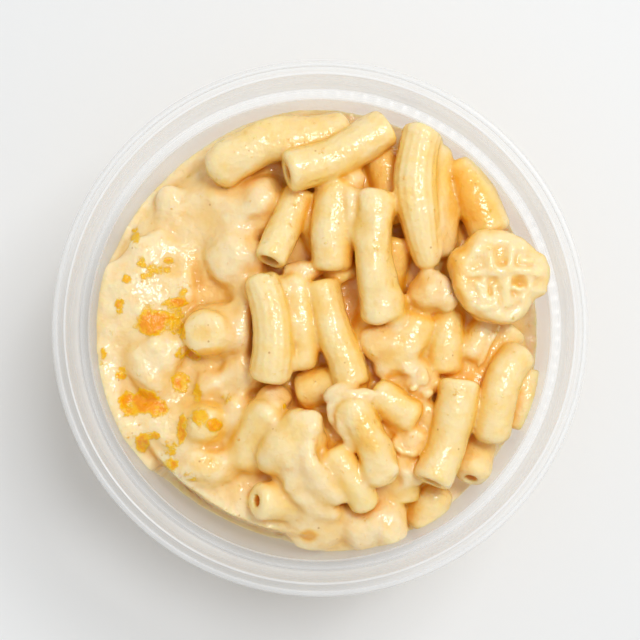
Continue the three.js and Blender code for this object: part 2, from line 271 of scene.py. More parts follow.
BLOBS = (
    # Swellings of the thick sauce on the left.
    Blob((-17.5, 27.6, 52.8), (9.0, 6.5, 4.4), 0, 4.0),
    Blob((-19.6, 17.0, 54.4), (6.2, 7.4, 4.8), 0, 2.2),
    Blob((-15.0, 9.5, 53.6), (5.0, 6.5, 3.4), 0, 3.0),
    Blob((-12.8, 30.4, 56.0), (3.8, 4.0, 3.4), 0, 2.2),
    Blob((-33.4, 29, 51.4), (3.0, 3.2, 2.4), 0, 2.6),
    Blob((-36.5, 9, 52.8), (7.0, 10, 2.4), 0, 5.0),
    Blob((-30.6, 9.5, 54.4), (2.2, 5.0, 2.0), 0, 2.0),
    Blob((-43.5, 6, 53.6), (5, 10, 1.6), 0, 5.0),
    Blob((-38, -20.5, 53.4), (5, 4, 2.2)),
    Blob((-24.5, -12.0, 54.8), (3.2, 3.0, 2.2), 0, 3.4),
    Blob((-17.5, -10.5, 54.6), (4.4, 4.4, 2.6), 0, 2.5),
    Blob((-19.0, -18.5, 55.0), (3.6, 4.4, 2.6), 0, 2.5),
    Blob((-25, -24, 53.6), (9, 9, 2.6), 0, 3.0),
    # Clumps of sauce over and between the heap's pieces.
    Blob((-5.4, -29.2, 57.6), (6.4, 6.0, 4.8), -20, 2.4),
    Blob((-8.2, -27.6, 62.0), (1.8, 1.6, 1.2), 0, 1.6),
    Blob((-4.2, -33.0, 61.4), (2.2, 1.6, 1.3), -30, 1.6),
    Blob((-2.0, -38.4, 55.0), (7.0, 4.6, 4.2), -20, 2.6),
    Blob((-36.4, -7.2, 53.4), (7.4, 5.4, 4.8), 55, 1.2),
    Blob((-37.4, -10.8, 53.4), (4.6, 3.8, 4.4), 70, 1.2),
    Blob((-40.0, -6.6, 53.6), (3.4, 4.4, 3.4), 10, 1.6),
    Blob((-33.0, -4.8, 54.0), (4.4, 3.6, 3.6), 30, 2.0),
    Blob((-36.8, -4.4, 55.8), (2.6, 1.6, 2.4), 20, 1.2),
    Blob((-22.4, 0.0, 55.0), (6.6, 5.2, 3.6), -20, 2.6),
    Blob((5, -14.2, 61.4), (4.0, 2.8, 3.0), 20, 1.8),
    Blob((-3.6, 13.8, 57.6), (5.0, 2.8, 3.0), 0, 2.0),
    Blob((-14.6, 16.2, 56.8), (2.4, 3.4, 2.6), -30, 2.0),
    Blob((-17.0, 1.0, 56.0), (2.6, 6.0, 3.0), 0, 2.6),
    Blob((-9.4, -15.6, 56.6), (3.4, 2.8, 2.8), 0, 2.0),
    Blob((25.0, 7.6, 60.4), (6.0, 4.8, 4.8), 0, 0.7),
    Blob((24.7, 10.6, 61.2), (3.1, 3.5, 2.9), 0, 2.0),
    Blob((7.4, 34.2, 60.6), (3.4, 2.6, 2.8), 20, 1.4),
    Blob((4.6, 36.0, 60.2), (2.4, 2.2, 2.4), 0, 1.4),
    Blob((16.9, 2.2, 60.6), (2.4, 2.6, 2.6), 30, 1.2),
    Blob((19.0, 6.0, 60.8), (1.1, 1.0, 1.1), 0, 1.0),
    Blob((13.6, -2.8, 59.4), (4.9, 3.9, 3.6), 10, 1.8),
    Blob((14.4, -8.4, 58.6), (2.0, 2.2, 2.2), 0, 1.4),
    Blob((22.4, -11.4, 57.2), (4.6, 5.4, 4.2), 0, 1.4),
    Blob((20.2, -8.8, 60.4), (2.0, 1.3, 1.4), 30, 1.0),
    Blob((23.4, -10.6, 61.0), (1.3, 2.2, 1.4), 10, 1.0),
    Blob((21.2, -13.4, 60.8), (1.4, 1.2, 1.3), 0, 1.0),
    Blob((24.4, -14.4, 60.2), (1.6, 1.3, 1.4), 0, 1.0),
    Blob((8.4, -28.2, 59.0), (2.2, 3.4, 2.4), 25, 1.2),
    Blob((17.4, -12.0, 56.8), (3.0, 2.4, 2.4), 0, 1.4),
    Blob((24.0, -20.0, 56.8), (2.6, 4.6, 2.6), 0, 1.4),
    Blob((20.6, -24.5, 58), (3.0, 3.2, 3.2), 0, 1.4),
    Blob((18.0, -29.0, 57), (2.6, 3.2, 3.2), 0, 1.4),
    Blob((21.2, -31.5, 56), (2.8, 3.0, 2.8), 0, 1.4),
    Blob((15.2, -42.8, 53.0), (5.6, 6.4, 5.2), 10, 1.4),
    Blob((9.0, -44.2, 52.0), (4.6, 5.4, 5.0), 0, 2.6),
    Blob((-1.6, -43.0, 52.2), (6.8, 6.4, 5.0), 0, 2.6),
)


class Strand(NamedTuple):
    """A thin run of sauce: the line through its middle, its radius and the reach of its foot's fillet."""

    line: tuple
    radius: float
    soft: float = 0.7


STRANDS = (
    Strand(((6.8, 32.5, 62.4), (6.6, 28, 63.4), (7.0, 24.2, 63)), 1.5),
    Strand(((24.0, 14.6, 60.2), (24.2, 12.0, 62)), 0.5),
    Strand(((26.8, 15.6, 60.6), (26.6, 12.0, 61.8)), 0.6),
    # Folds of sauce at the front.
    Strand(((-1.6, -19.0, 61.8), (-1.8, -21.4, 63.6), (-2.4, -24.0, 64.0), (-3.2, -26.4, 63.8)), 1.8, 1.4),
    Strand(((-3.2, -25.0, 63.9), (-2.5, -28.6, 64.2), (-0.6, -32.4, 63.2), (1.9, -35.6, 61.6),
            (4.4, -37.8, 59.4)), 2.1, 1.6),
    Strand(((-7.0, -33.4, 61.4), (-4.2, -36.8, 60.2), (-0.6, -39.4, 58.6), (3.4, -41.0, 56.8)), 1.7, 1.6),
    Strand(((-5.4, -20.8, 62.4), (-6.2, -23.0, 63.8), (-7.6, -25.4, 63.7), (-6.6, -29.6, 62.4),
            (-8.4, -33.4, 59.6)), 0.9),
    Strand(((-10.0, -25.0, 60.6), (-10.6, -28.0, 61.4), (-9.4, -31.4, 60.6)), 0.8),
    Strand(((5.2, -18.6, 63.2), (5.0, -21.6, 63.4), (6.4, -24.8, 62.8), (7.6, -26.6, 61.4)), 1.2, 1.2),
    Strand(((12.3, -15.2, 63.6), (7.2, -14.2, 64), (3.2, -17.2, 62.8), (4.0, -21.4, 62), (7.0, -24.0, 62)),
           1.2),
    Strand(((40.8, 1.6, 57.6), (38.6, -2.8, 58), (35.2, -9.2, 57)), 0.7),
    Strand(((16.6, -24, 59.6), (18.4, -27, 59.8), (21.4, -27.4, 59.2)), 1.0),
)

# Level of the sauce at the wall: azimuth in degrees from +X, and height.
WALL_LEVELS = (
    (0, 47), (60, 50), (92, 53), (115, 51), (128, 48), (155, 50.5), (172, 53.5), (180, 55), (207, 55.5),
    (217, 51), (226, 40), (243, 35), (258, 36), (266, 42), (273, 50), (281, 52), (292, 47), (315, 43),
    (360, 47),
)
POOL_HIGH = 54.0  # on the -X side
POOL_LOW = 56.0  # under the heap
POOL_STEP = (-14.0, 8.0)  # from the one to the other, along X
BANK_WIDTHS = (5.0, 13.0)  # of the slope down to the wall, on the -X side and under the heap
# How steeply the sauce ends short of the wall: azimuth in degrees, and 1 for a cliff.
CLIFFS = ((0, 0), (207, 0), (218, 1), (266, 1), (278, 0), (360, 0))

# Baked spots: x and y as seen, half sizes, turn in degrees, and strength.
BAKED = (
    # Round the large spot on the left.
    (-37.9, 1.9, 3.2, 2.7, 0, 1.15), (-32.8, 2.8, 2.1, 2.9, 0, 0.8), (-32.6, 6.2, 3.0, 1.1, 0, 0.85),
    (-30.9, 8.9, 1.5, 1.8, 0, 0.5), (-31.0, 0.1, 0.7, 2.6, 8, 0.95), (-28.5, -5.5, 1.6, 1.0, -25, 0.95),
    (-31.4, -5.2, 1.3, 2.1, 0, 0.5),
    # Above it.
    (-39.8, 14.9, 1.0, 0.9, 0, 0.8), (-34.0, 15.7, 1.3, 0.9, 0, 0.8), (-35.8, 13.5, 2.4, 1.0, 5, 0.7),
    (-39.0, 12.4, 1.5, 0.9, 0, 0.8), (-37.9, 14.0, 1.2, 1.2, 0, 0.7), (-41.4, 21.3, 1.0, 1.6, 0, 0.85),
    (-43.5, 11.5, 0.9, 1.0, 0, 0.8), (-45.1, 5.4, 1.0, 1.8, 0, 0.85), (-48.6, -5.5, 0.7, 1.5, 0, 0.75),
    # Round the lower spot, and on the lump beside it.
    (-44.7, -9.6, 1.4, 1.5, 0, 0.75), (-42.6, -16.4, 2.3, 2.4, 0, 1.0), (-39.0, -16.0, 2.8, 2.6, 0, 1.2),
    (-36.4, -17.6, 2.1, 1.8, 0, 1.0), (-31.3, -11.6, 2.0, 2.0, 0, 1.0), (-27.5, -14.1, 1.0, 2.0, 0, 0.75),
    (-39.8, -25.2, 1.5, 2.0, 0, 0.85), (-37.8, -23.6, 2.2, 0.9, 0, 0.85),
    (-33.6, -26.2, 1.9, 2.0, 0, 0.65), (-33.4, -30.2, 1.6, 1.6, 0, 0.8), (-28.8, -32.7, 1.7, 1.3, 0, 0.5),
    (-30.8, -22.1, 1.0, 3.4, -8, 1.0), (-26.9, -19.5, 1.7, 1.8, 0, 0.85),
    (-23.8, -21.3, 1.6, 1.4, 0, 1.0), (-20.8, -15.2, 1.3, 1.4, 0, 0.5),
    # Specks at the front.
    (-8.0, -16.8, 0.5, 0.6, 0, 0.7),
)

# Spots painted darker and more golden, given in the same way: partly oil showing through the sauce, partly
# painted shade in gaps and on flanks turned from the light.
OIL_AND_SHADE_SPOTS = (
    (-26.6, -0.9, 2.2, 1.9, 0, 0.5), (-25.4, -5.0, 3.0, 1.0, 10, 0.8), (-24.2, -26.2, 2.6, 1.4, 0, 0.6),
    (-25.7, -30.3, 3.4, 1.8, 0, 0.5), (29.9, 29.0, 1.0, 5.0, 0, 0.5), (34.0, 30.0, 3.2, 8.0, 24, 0.85),
    (10.5, -23.0, 2.0, 5.0, 20, 0.6), (39.6, 24.0, 1.6, 6.0, 20, 0.6), (25.0, 7.8, 4.4, 4.4, 0, 0.4),
    (24.6, 3.6, 3.6, 1.6, 0, 0.4), (15.0, -3.4, 4.0, 3.0, 0, 0.4), (34.0, 3.0, 2.0, 2.0, 0, 0.7),
    (-2.5, -45.9, 1.6, 1.3, 0, 0.7), (-23.6, -20.6, 2.6, 3.4, 0, 0.2), (-27.5, 12.5, 1.2, 3.6, 10, 0.4),
)

# Where the sauce has curdled into small grains between the macaroni: x and y as seen, and half sizes.
CURDLED = (
    (19.4, -11.6, 4.6, 4.0), (19.8, -26.6, 3.6, 6.4), (17.8, -36.0, 3.0, 4.0), (26.4, 5.0, 4.0, 2.4),
    (6.4, 33.6, 3.0, 3.0), (-36.0, -8.0, 4.0, 4.0), (-24.0, -21.5, 3.6, 4.0), (-2.0, -44.0, 4.0, 2.4),
)


class Dent(NamedTuple):
    """A pocket in the wheel's face: its middle on the face, half sizes and depth."""

    place: tuple
    half: tuple
    depth: float


# The wheel's face, in millimetres from its hub along its own axes.
WHEEL_RADIUS = 10.6
# Its radius by azimuth in degrees, as a share.
WHEEL_OUTLINE = (
    (0, 1.06), (22, 1.05), (38, 0.95), (63, 0.94), (90, 1.0), (122, 1.06), (165, 1.04), (190, 1.0),
    (222, 0.97), (270, 0.99), (297, 0.94), (325, 0.91), (341, 1.03), (360, 1.06),
)
WHEEL_SHIFT = (-0.3, -0.9, 0.0)  # from the middle of the CAD wheel
WHEEL_HALF = 3.9  # half its thickness
WHEEL_EDGE = 3.0  # rounding of its edge
WHEEL_LOBE = ((-8.6, 4.0, -0.4), (3.0, 3.4, 3.4))  # middle and half sizes of the lump at its side
WHEEL_TILT = math.radians(7)  # down towards the wall
WHEEL_DENTS = (
    Dent((-0.8, 4.0), (2.3, 2.6), 0.5), Dent((5.6, 3.7), (3.2, 1.6), 0.6),
    Dent((4.0, -2.5), (2.2, 2.4), 1.1), Dent((2.3, -7.2), (1.6, 0.9), 0.7),
    Dent((4.3, -6.1), (0.8, 0.8), 0.6), Dent((-4.7, -2.4), (3.2, 3.4), 0.45),
    Dent((-2.1, 0.2), (0.7, 0.7), 0.4), Dent((-8.0, 7.6), (1.4, 2.6), 1.0),
    Dent((9.0, -2.0), (1.4, 1.8), 0.6),
)
WHEEL_RIDGES = (
    Strand(((2.6, 6.4), (1.9, 5.0), (1.8, 3.0), (2.1, 1.2)), 0.75),
    Strand(((3.0, 1.3), (5.6, 1.2), (8.6, 0.7)), 0.75),
    Strand(((0.9, -0.9), (1.2, -3.2), (1.4, -5.8)), 0.8),
    Strand(((-3.4, 6.6), (-3.2, 4.2), (-3.0, 1.4)), 0.65),
    Strand(((-3.0, 1.6), (-5.0, 1.2), (-7.4, 0.4)), 0.6),
    Strand(((-1.9, -1.6), (-1.5, -3.4), (-0.7, -4.9)), 0.4),
    Strand(((-5.4, -6.6), (-3.0, -6.6), (-0.6, -5.7)), 0.9),
    Strand(((-3.6, -5.6), (-2.2, -4.4), (-1.2, -5.6)), 0.6),
    Strand(((-2.6, 1.4), (0.0, 1.3), (2.4, 1.0)), 0.9),
    Strand(((-6.0, -1.0), (-4.8, -2.6), (-4.4, -4.6)), 0.3),
    Strand(((-4.6, -0.2), (-3.8, -2.0), (-3.4, -4.2)), 0.3),
    Strand(((4.4, 3.7), (5.8, 3.8), (7.0, 3.6)), 0.3),
    Strand(((3.0, -2.4), (4.4, -3.2), (5.2, -3.0)), 0.3),
)


# ---- Shapes --------------------------------------------------------------------------------------


def smooth_step(low, high, value):
    t = np.clip((value - low) / (high - low), 0, 1)
    return t * t * (3 - 2 * t)


def smooth_low(a, b, reach):
    """The lower of two distances, with a fillet of that reach where they are alike."""
    h = np.maximum(reach - np.abs(a - b), 0) / reach
    return np.minimum(a, b) - h * h * reach * 0.25


def rounded_edge(a, b, edge):
    """Distance to two surfaces that meet in a rounded edge, from each one's distance plus its radius."""
    return np.minimum(np.maximum(a, b), 0) + np.hypot(np.maximum(a, 0), np.maximum(b, 0)) - edge


def along(stops, value):
    """Value of a curve through (position, height) stops, flat at each stop."""
    at, heights = np.array(stops, float).T
    i = np.clip(np.searchsorted(at, value) - 1, 0, len(at) - 2)
    return heights[i] + (heights[i + 1] - heights[i]) * smooth_step(at[i], at[i + 1], value)


def smooth_line(points, count):
    """Evenly spaced points on a Catmull-Rom curve through the given ones, and the distance to each."""
    p = np.array(points, float)
    if len(p) == 2:
        p = np.array([p[0], p.mean(0), p[1]])
    p = np.vstack([2 * p[0] - p[1], p, 2 * p[-1] - p[-2]])
    fine = []
    for a, b, c, d in zip(p, p[1:], p[2:], p[3:]):
        t = np.linspace(0, 1, 24, endpoint=False)[:, None]
        bend, twist = 2 * a - 5 * b + 4 * c - d, 3 * b - a - 3 * c + d
        fine.append(0.5 * (2 * b + (c - a) * t + bend * t**2 + twist * t**3))
    fine = np.vstack([*fine, p[-2:-1]])
    run = np.concatenate([[0], np.cumsum(np.linalg.norm(np.diff(fine, axis=0), axis=1))])
    at = np.linspace(0, run[-1], count)
    return np.stack([np.interp(at, run, fine[:, i]) for i in range(3)], -1), at


class Field:
    """Distances to a surface on a regular grid of samples, in millimetres, negative inside."""

    def __init__(self, low, high, cell):
        self.low = np.array(low, float)
        self.cell = cell
        self.counts = np.ceil((np.array(high) - self.low) / cell).astype(int) + 1
        self.axes = [(self.low[i] + cell * np.arange(self.counts[i])).astype(np.float32) for i in range(3)]
        self.values = np.full(self.counts, 50.0, np.float32)

    def block(self, low, high):
        """The part of the grid inside a box: its slices, and its x, y and z."""
        first, last = ((np.array(corner) - self.low) / self.cell for corner in (low, high))
        start = np.clip(np.floor(first).astype(int), 0, self.counts - 2)
        stop = np.clip(np.ceil(last).astype(int) + 1, start + 1, self.counts)
        cut = tuple(slice(a, b) for a, b in zip(start, stop))
        x, y, z = (self.axes[i][cut[i]] for i in range(3))
        return cut, x[:, None, None], y[None, :, None], z[None, None, :]

    def near(self, points, reach):
        """The part of the grid within reach of points, as block gives it."""
        points = np.atleast_2d(points)
        return self.block(points.min(0) - reach, points.max(0) + reach)

    def join(self, cut, distance, soft):
        """Adds a shape to the surface, with a fillet of that reach where they meet."""
        self.values[cut] = smooth_low(self.values[cut], distance, soft)

    def noise(self, seed, size):
        """Smooth random values from about -1 to 1 over the whole grid, that change over the given size."""
        random = np.random.default_rng(seed)
        spans = [self.axes[i][-1] - self.axes[i][0] for i in range(3)]
        coarse = [int(span / size) + 5 for span in spans]
        values = random.uniform(-1, 1, coarse).astype(np.float32) * 1.9
        for i in range(3):
            place = (self.axes[i] - self.axes[i][0]) / size + 1
            whole = np.floor(place).astype(int)
            t = place - whole
            weights = np.zeros((len(place), coarse[i]), np.float32)
            spline = ((1 - t) ** 3, 3 * t**3 - 6 * t**2 + 4, -3 * t**3 + 3 * t**2 + 3 * t + 1, t**3)
            for step, weight in enumerate(spline):
                weights[np.arange(len(place)), whole + step - 1] = weight / 6
            values = np.moveaxis(np.tensordot(weights, values, (1, i)), 0, i)
        return values

    def sample(self, values, points):
        """Values of the grid at points in millimetres, blended between the samples."""
        place = (points - self.low) / self.cell
        whole = np.clip(np.floor(place).astype(int), 0, self.counts - 2)
        t = np.clip(place - whole, 0, 1)
        total = np.zeros(len(points))
        for i, j, k in np.ndindex(2, 2, 2):
            weight = np.prod(np.where([i, j, k], t, 1 - t), axis=1)
            total += weight * values[tuple((whole + [i, j, k]).T)]
        return total

    def slope(self, points, step):
        """Change of the distance along X, Y and Z at points, from a step behind each to a step ahead."""
        change = [self.sample(self.values, points + offset) - self.sample(self.values, points - offset)
                  for offset in np.eye(3) * step]
        return np.stack(change, -1)

    def facing_up(self, points):
        """Height part of the surface's direction at points on it, from -1 to 1."""
        slope = self.slope(points, 0.6)
        return slope[:, 2] / np.maximum(np.linalg.norm(slope, axis=1), 1e-6)

    def exposure(self, reach):
        """Share of open space within about that reach of each sample."""
        share = (self.values > 0).astype(np.float32)
        half = max(1, round(reach / self.cell / 2))
        for axis in (0, 1, 2) * 2:
            share = np.moveaxis(share, axis, 0)
            padded = np.pad(share, ((half + 1, half), (0, 0), (0, 0)), mode="edge")
            run = np.cumsum(padded, axis=0, dtype=np.float32)
            share = np.moveaxis((run[2 * half + 1 :] - run[: -2 * half - 1]) / (2 * half + 1), 0, axis)
        return share

    def surface(self):
        """Vertices and quads of the surface where the distance is 0, a vertex for each cell it crosses."""
        v = self.values
        inside = v < 0
        corners = [(i, j, k) for i in (0, 1) for j in (0, 1) for k in (0, 1)]
        nx, ny, nz = self.counts - 1
        count = sum(inside[i : nx + i, j : ny + j, k : nz + k].astype(np.int8) for i, j, k in corners)
        cells = np.argwhere((count > 0) & (count < 8))
        index = np.full((nx, ny, nz), -1, np.int32)
        index[tuple(cells.T)] = np.arange(len(cells))
        total = np.zeros((len(cells), 3))
        crossings = np.zeros(len(cells))
        for a in corners:
            for axis in range(3):
                if a[axis]:
                    continue
                b = tuple(c + (n == axis) for n, c in enumerate(a))
                va, vb = (v[tuple((cells + corner).T)] for corner in (a, b))
                hit = (va < 0) != (vb < 0)
                t = np.where(hit, va / np.where(hit, va - vb, 1), 0)
                point = cells + np.array(a) + t[:, None] * np.eye(3)[axis]
                total += np.where(hit[:, None], point, 0)
                crossings += hit
        vertices = self.low + self.cell * total / crossings[:, None]
        quads = []
        for axis in range(3):
            u, w = [n for n in range(3) if n != axis]
            first = np.take(inside, range(self.counts[axis] - 1), axis)
            second = np.take(inside, range(1, self.counts[axis]), axis)
            edges = np.argwhere(first != second)
            edges = edges[(edges[:, u] > 0) & (edges[:, w] > 0)]
            edges = edges[(edges[:, u] < self.counts[u] - 1) & (edges[:, w] < self.counts[w] - 1)]
            ring = []
            for du, dw in ((1, 1), (0, 1), (0, 0), (1, 0)):
                cell = edges.copy()
                cell[:, u] -= du
                cell[:, w] -= dw
                ring.append(index[tuple(cell.T)])
            quad = np.stack(ring, -1)
            outward = first[tuple(edges.T)] != (axis == 1)
            quads.append(np.where(outward[:, None], quad, quad[:, ::-1]))
        return vertices, np.vstack(quads)


def tube_distance(line, at, radius, edge, x, y, z, ridge=0.0, ridges=0):
    """Distance to a flat-ended tube with rounded edges along a line, whose radius is given at each point.

    It can carry lengthwise ridges of a given depth and number.
    """
    best = np.full(np.broadcast_shapes(x.shape, y.shape, z.shape), 1e9, np.float32)
    place = np.zeros_like(best)
    turn = np.zeros_like(best)
    for i in range(len(line) - 1):
        a, step = line[i], line[i + 1] - line[i]
        span = float(step @ step)
        t = ((x - a[0]) * step[0] + (y - a[1]) * step[1] + (z - a[2]) * step[2]) / span
        t = np.clip(t, -20 if i == 0 else 0, 20 if i == len(line) - 2 else 1)
        off = [x - a[0] - t * step[0], y - a[1] - t * step[1], z - a[2] - t * step[2]]
        gap = off[0] ** 2 + off[1] ** 2 + off[2] ** 2
        near = gap < best
        best = np.where(near, gap, best)
        place = np.where(near, at[i] + t * math.sqrt(span), place)
        if ridge:
            side = np.cross(step, [0, 0, 1]) / np.linalg.norm(np.cross(step, [0, 0, 1]))
            up = np.cross(side, step) / math.sqrt(span)
            across, above = (sum(o * v for o, v in zip(off, axis)) for axis in (side, up))
            turn = np.where(near, np.arctan2(above, across), turn)
    fade = ridge * smooth_step(0, 3, at[-1] / 2 - np.abs(place - at[-1] / 2)) if ridge else 0
    round_by = edge + np.sqrt(best) - np.interp(place, at, radius) - fade * np.cos(ridges * turn)
    beyond = edge + np.abs(place - at[-1] / 2) - at[-1] / 2
    return rounded_edge(round_by, beyond, edge).astype(np.float32)


def blob_distance(middle, half, turn, x, y, z):
    """Rough distance to an ellipsoid turned about Z."""
    c, s = math.cos(math.radians(turn)), math.sin(math.radians(turn))
    u = ((x - middle[0]) * c + (y - middle[1]) * s) / half[0]
    v = ((y - middle[1]) * c - (x - middle[0]) * s) / half[1]
    w = (z - middle[2]) / half[2]
    size = np.sqrt(u * u + v * v + w * w)
    slope = np.sqrt((u / half[0]) ** 2 + (v / half[1]) ** 2 + (w / half[2]) ** 2)
    return (size * (size - 1) / np.maximum(slope, 1e-3)).astype(np.float32)


def tube_radius(tube, at, seed):
    """Half width along a macaroni: set at its middle and ends, with a slight waver."""
    random = np.random.default_rng(seed)
    t = at / at[-1]
    ends = np.where(t < 0.5, tube.ends[0], tube.ends[1])
    shape = 1 + (ends - 1) * np.abs(2 * t - 1) ** 1.6
    waver = 0.018 * np.sin(2 * math.pi * (t * random.uniform(1.2, 2.2) + random.uniform()))
    return tube.width / 2 * (shape + waver)


def mesh_object(name, vertices, faces, material):
    """A smooth-shaded mesh object from points in millimetres."""
    mesh = bpy.data.meshes.new(name)
    mesh.from_pydata((np.asarray(vertices) * MM).tolist(), [], faces)
    mesh.shade_smooth()
    mesh.materials.append(material)
    piece = bpy.data.objects.new(name, mesh)
    bpy.context.scene.collection.objects.link(piece)
    return piece


def thin_out(piece, triangles):
    """Merges the flattest parts of a piece's mesh down to that many triangles, and returns its points."""
    modifier = piece.modifiers.new("thin_out", "DECIMATE")
    modifier.ratio = min(1.0, triangles / sum(len(face.vertices) - 2 for face in piece.data.polygons))
    evaluated = piece.evaluated_get(bpy.context.evaluated_depsgraph_get())
    dense = piece.data
    piece.data = bpy.data.meshes.new_from_object(evaluated)
    piece.modifiers.clear()
    bpy.data.meshes.remove(dense)
    piece.data.name = piece.name
    points = np.empty(3 * len(piece.data.vertices), np.float32)
    piece.data.vertices.foreach_get("co", points)
    return points.reshape(-1, 3).astype(float) / MM


def paint(piece, **attributes):
    """Stores a value at each point of a piece for its material to read."""
    for key, values in attributes.items():
        layer = piece.data.attributes.new(key, "FLOAT", "POINT")
        layer.data.foreach_set("value", np.asarray(values, np.float32))


def hand_over(piece, slot, *nodes):
    """Fixes a finished piece to the tub's body, in place of its CAD nodes."""
    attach(piece, "root")
    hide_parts(*nodes)


# ---- Tub -----------------------------------------------------------------------------------------

BASE_RADIUS = 46.0  # outside of the wall at the base
BASE_LIFT = 0.9  # base panel above the foot ring's face
BASE_TOP = BASE_LIFT + WALL
FOOT_WIDTH = 3.0
FOOT_RADIUS = BASE_RADIUS - 2.2
LEDGE_HEIGHT = 63.6
LEDGE_INNER = 50.9
LEDGE_OUTER = 53.2
LIP_WIDTH = 2.3
BEAD_WIDTH = 1.2  # raised edge of the rim
SKIRT_DEPTH = 5.2
RIB_HEIGHT = 0.07
RIB_STEPS = 6  # points of the ledge for each rib
# Haze of the plastic by radius above the ledge, as a share of the plain wall's: more where it is thicker.
HAZE = (
    (50.8, 0.65), (51.2, 1.3), (51.5, 0.25), (52.7, 0.25), (53.0, 1.3), (53.2, 0.25), (53.6, 1.4),
    (54.4, 1.3), (54.8, 0.6), (55.3, 0.6), (55.5, 1.8), (55.9, 1.8), (56.1, 0.5), (57.1, 0.5),
    (57.4, 1.3), (58.3, 1.2),
)


def wall_radius(z):
    """Inner radius of the tapered wall at a height."""
    inner = BASE_RADIUS - WALL
    return inner + (LEDGE_INNER - inner) * (z - BASE_TOP) / (LEDGE_HEIGHT - 1 - BASE_TOP)


def rounded(corners):
    """An outline of (radius, height, fillet) corners with each corner rounded by its fillet."""
    outline = []
    for i, (r, z, fillet) in enumerate(corners):
        here = np.array([r, z], float)
        if fillet <= 0 or i in (0, len(corners) - 1):
            outline.append(here)
            continue
        before = np.array(corners[i - 1][:2], float) - here
        after = np.array(corners[i + 1][:2], float) - here
        reach = min(fillet, 0.48 * np.linalg.norm(before), 0.48 * np.linalg.norm(after))
        a = here + before / np.linalg.norm(before) * reach
        b = here + after / np.linalg.norm(after) * reach
        for t in np.linspace(0, 1, 5):
            outline.append((1 - t) ** 2 * a + 2 * t * (1 - t) * here + t * t * b)
    return np.array(outline)


def tub_outline(tub):
    """The shell's section from the base's underside, up the outside, over the rim and down the inside."""
    rim, top, wall = tub.rim_radius / MM, tub.height / MM, tub.wall / MM
    mouth = rim - LIP_WIDTH
    collar = LEDGE_OUTER + 0.4
    base_top = BASE_LIFT + wall
    corners = [
        (0, BASE_LIFT, 0),
        (FOOT_RADIUS - FOOT_WIDTH - 0.8, BASE_LIFT, 0.4),
        (FOOT_RADIUS - FOOT_WIDTH, 0, 0.3),
        (FOOT_RADIUS, 0, 0.3),
        (BASE_RADIUS + 0.05, 1.5, 1.4),
        (LEDGE_INNER + wall - 0.15, LEDGE_HEIGHT - 0.9, 0.4),
        (collar + wall - 0.2, LEDGE_HEIGHT - 0.1, 0.9),
        (mouth - 0.3 + wall, top - 1.6, 0.8),
        (rim - wall, top - 1.2, 0.5),
        (rim - wall, top - SKIRT_DEPTH, 0.15),
        (rim, top - SKIRT_DEPTH, 0.2),
        (rim, top, 0.6),
        (rim - BEAD_WIDTH, top, 0.25),
        (rim - BEAD_WIDTH - 0.2, top - 0.6, 0.1),
        (mouth - 0.1, top - 0.6, 0.1),
        (mouth - 0.3, top - 0.2, 0.1),
        (mouth - 0.8, top - 0.3, 0.2),
        (collar + 1.4, top - 4.6, 1.0),
        (collar, LEDGE_HEIGHT + 0.7, 0.25),
        (LEDGE_OUTER + 0.25, LEDGE_HEIGHT - 0.2, 0.1),
        (LEDGE_OUTER - 0.1, LEDGE_HEIGHT, 0.1),
        (LEDGE_INNER + 0.5, LEDGE_HEIGHT, 0.1),
        (LEDGE_INNER + 0.3, LEDGE_HEIGHT + 0.2, 0.1),
        (LEDGE_INNER + 0.1, LEDGE_HEIGHT - 0.2, 0.2),
        (wall_radius(LEDGE_HEIGHT - 5), LEDGE_HEIGHT - 5, 2.0),
        (wall_radius(base_top), base_top, 1.8),
        (0, base_top, 0),
    ]
    return rounded(corners)


def turned(outline, steps):
    """Vertices and faces of a body of revolution from an outline that starts and ends on the axis."""
    angles = np.arange(steps) * 2 * math.pi / steps
    body = outline[1:-1]
    rings = np.stack([body[:, None, 0] * np.cos(angles), body[:, None, 0] * np.sin(angles),
                      np.repeat(body[:, 1:], steps, 1)], -1).reshape(-1, 3)
    vertices = np.vstack([rings, [0, 0, outline[0][1]], [0, 0, outline[-1][1]]])
    i = np.arange(steps)
    j = (i + 1) % steps
    last = (len(body) - 1) * steps
    rows = range(0, last, steps)
    quads = [np.stack([k + i, k + j, k + steps + j, k + steps + i], -1) for k in rows]
    lower = [(len(rings), b, a) for a, b in zip(i, j)]
    upper = [(len(rings) + 1, last + a, last + b) for a, b in zip(i, j)]
    return vertices, np.vstack(quads).tolist() + lower + upper


def raise_ribs(vertices, steps):
    """Lifts the top of the ledge, all round, into small bars that cross it."""
    radius = np.hypot(vertices[:, 0], vertices[:, 1])
    across = (radius > LEDGE_INNER + 0.45) & (radius < LEDGE_OUTER + 0.1)
    on_ledge = across & (np.abs(vertices[:, 2] - LEDGE_HEIGHT) < 0.3)
    step = np.round(np.arctan2(vertices[:, 1], vertices[:, 0]) * steps / (2 * math.pi))
    vertices[:, 2] += RIB_HEIGHT * (on_ledge & (step % RIB_STEPS < 2))
    return vertices


# ---- Materials -----------------------------------------------------------------------------------


def add_node(tree, kind, inputs=None, stops=(), **settings):
    """Adds a node. inputs gives values, outputs or nodes that feed it, by input name or number.

    stops gives the (position, colour) pairs of a colour ramp.
    """
    node = tree.nodes.new("ShaderNode" + kind)
    for key, value in settings.items():
        setattr(node, key, value)
    for i, (position, value) in enumerate(stops):
        stop = node.color_ramp.elements[i] if i < 2 else node.color_ramp.elements.new(position)
        stop.position, stop.color = position, value
    for key, value in (inputs or {}).items():
        if isinstance(value, bpy.types.Node):
            value = value.outputs[0]
        if isinstance(value, bpy.types.NodeSocket):
            tree.links.new(value, node.inputs[key])
        else:
            node.inputs[key].default_value = value
    return node


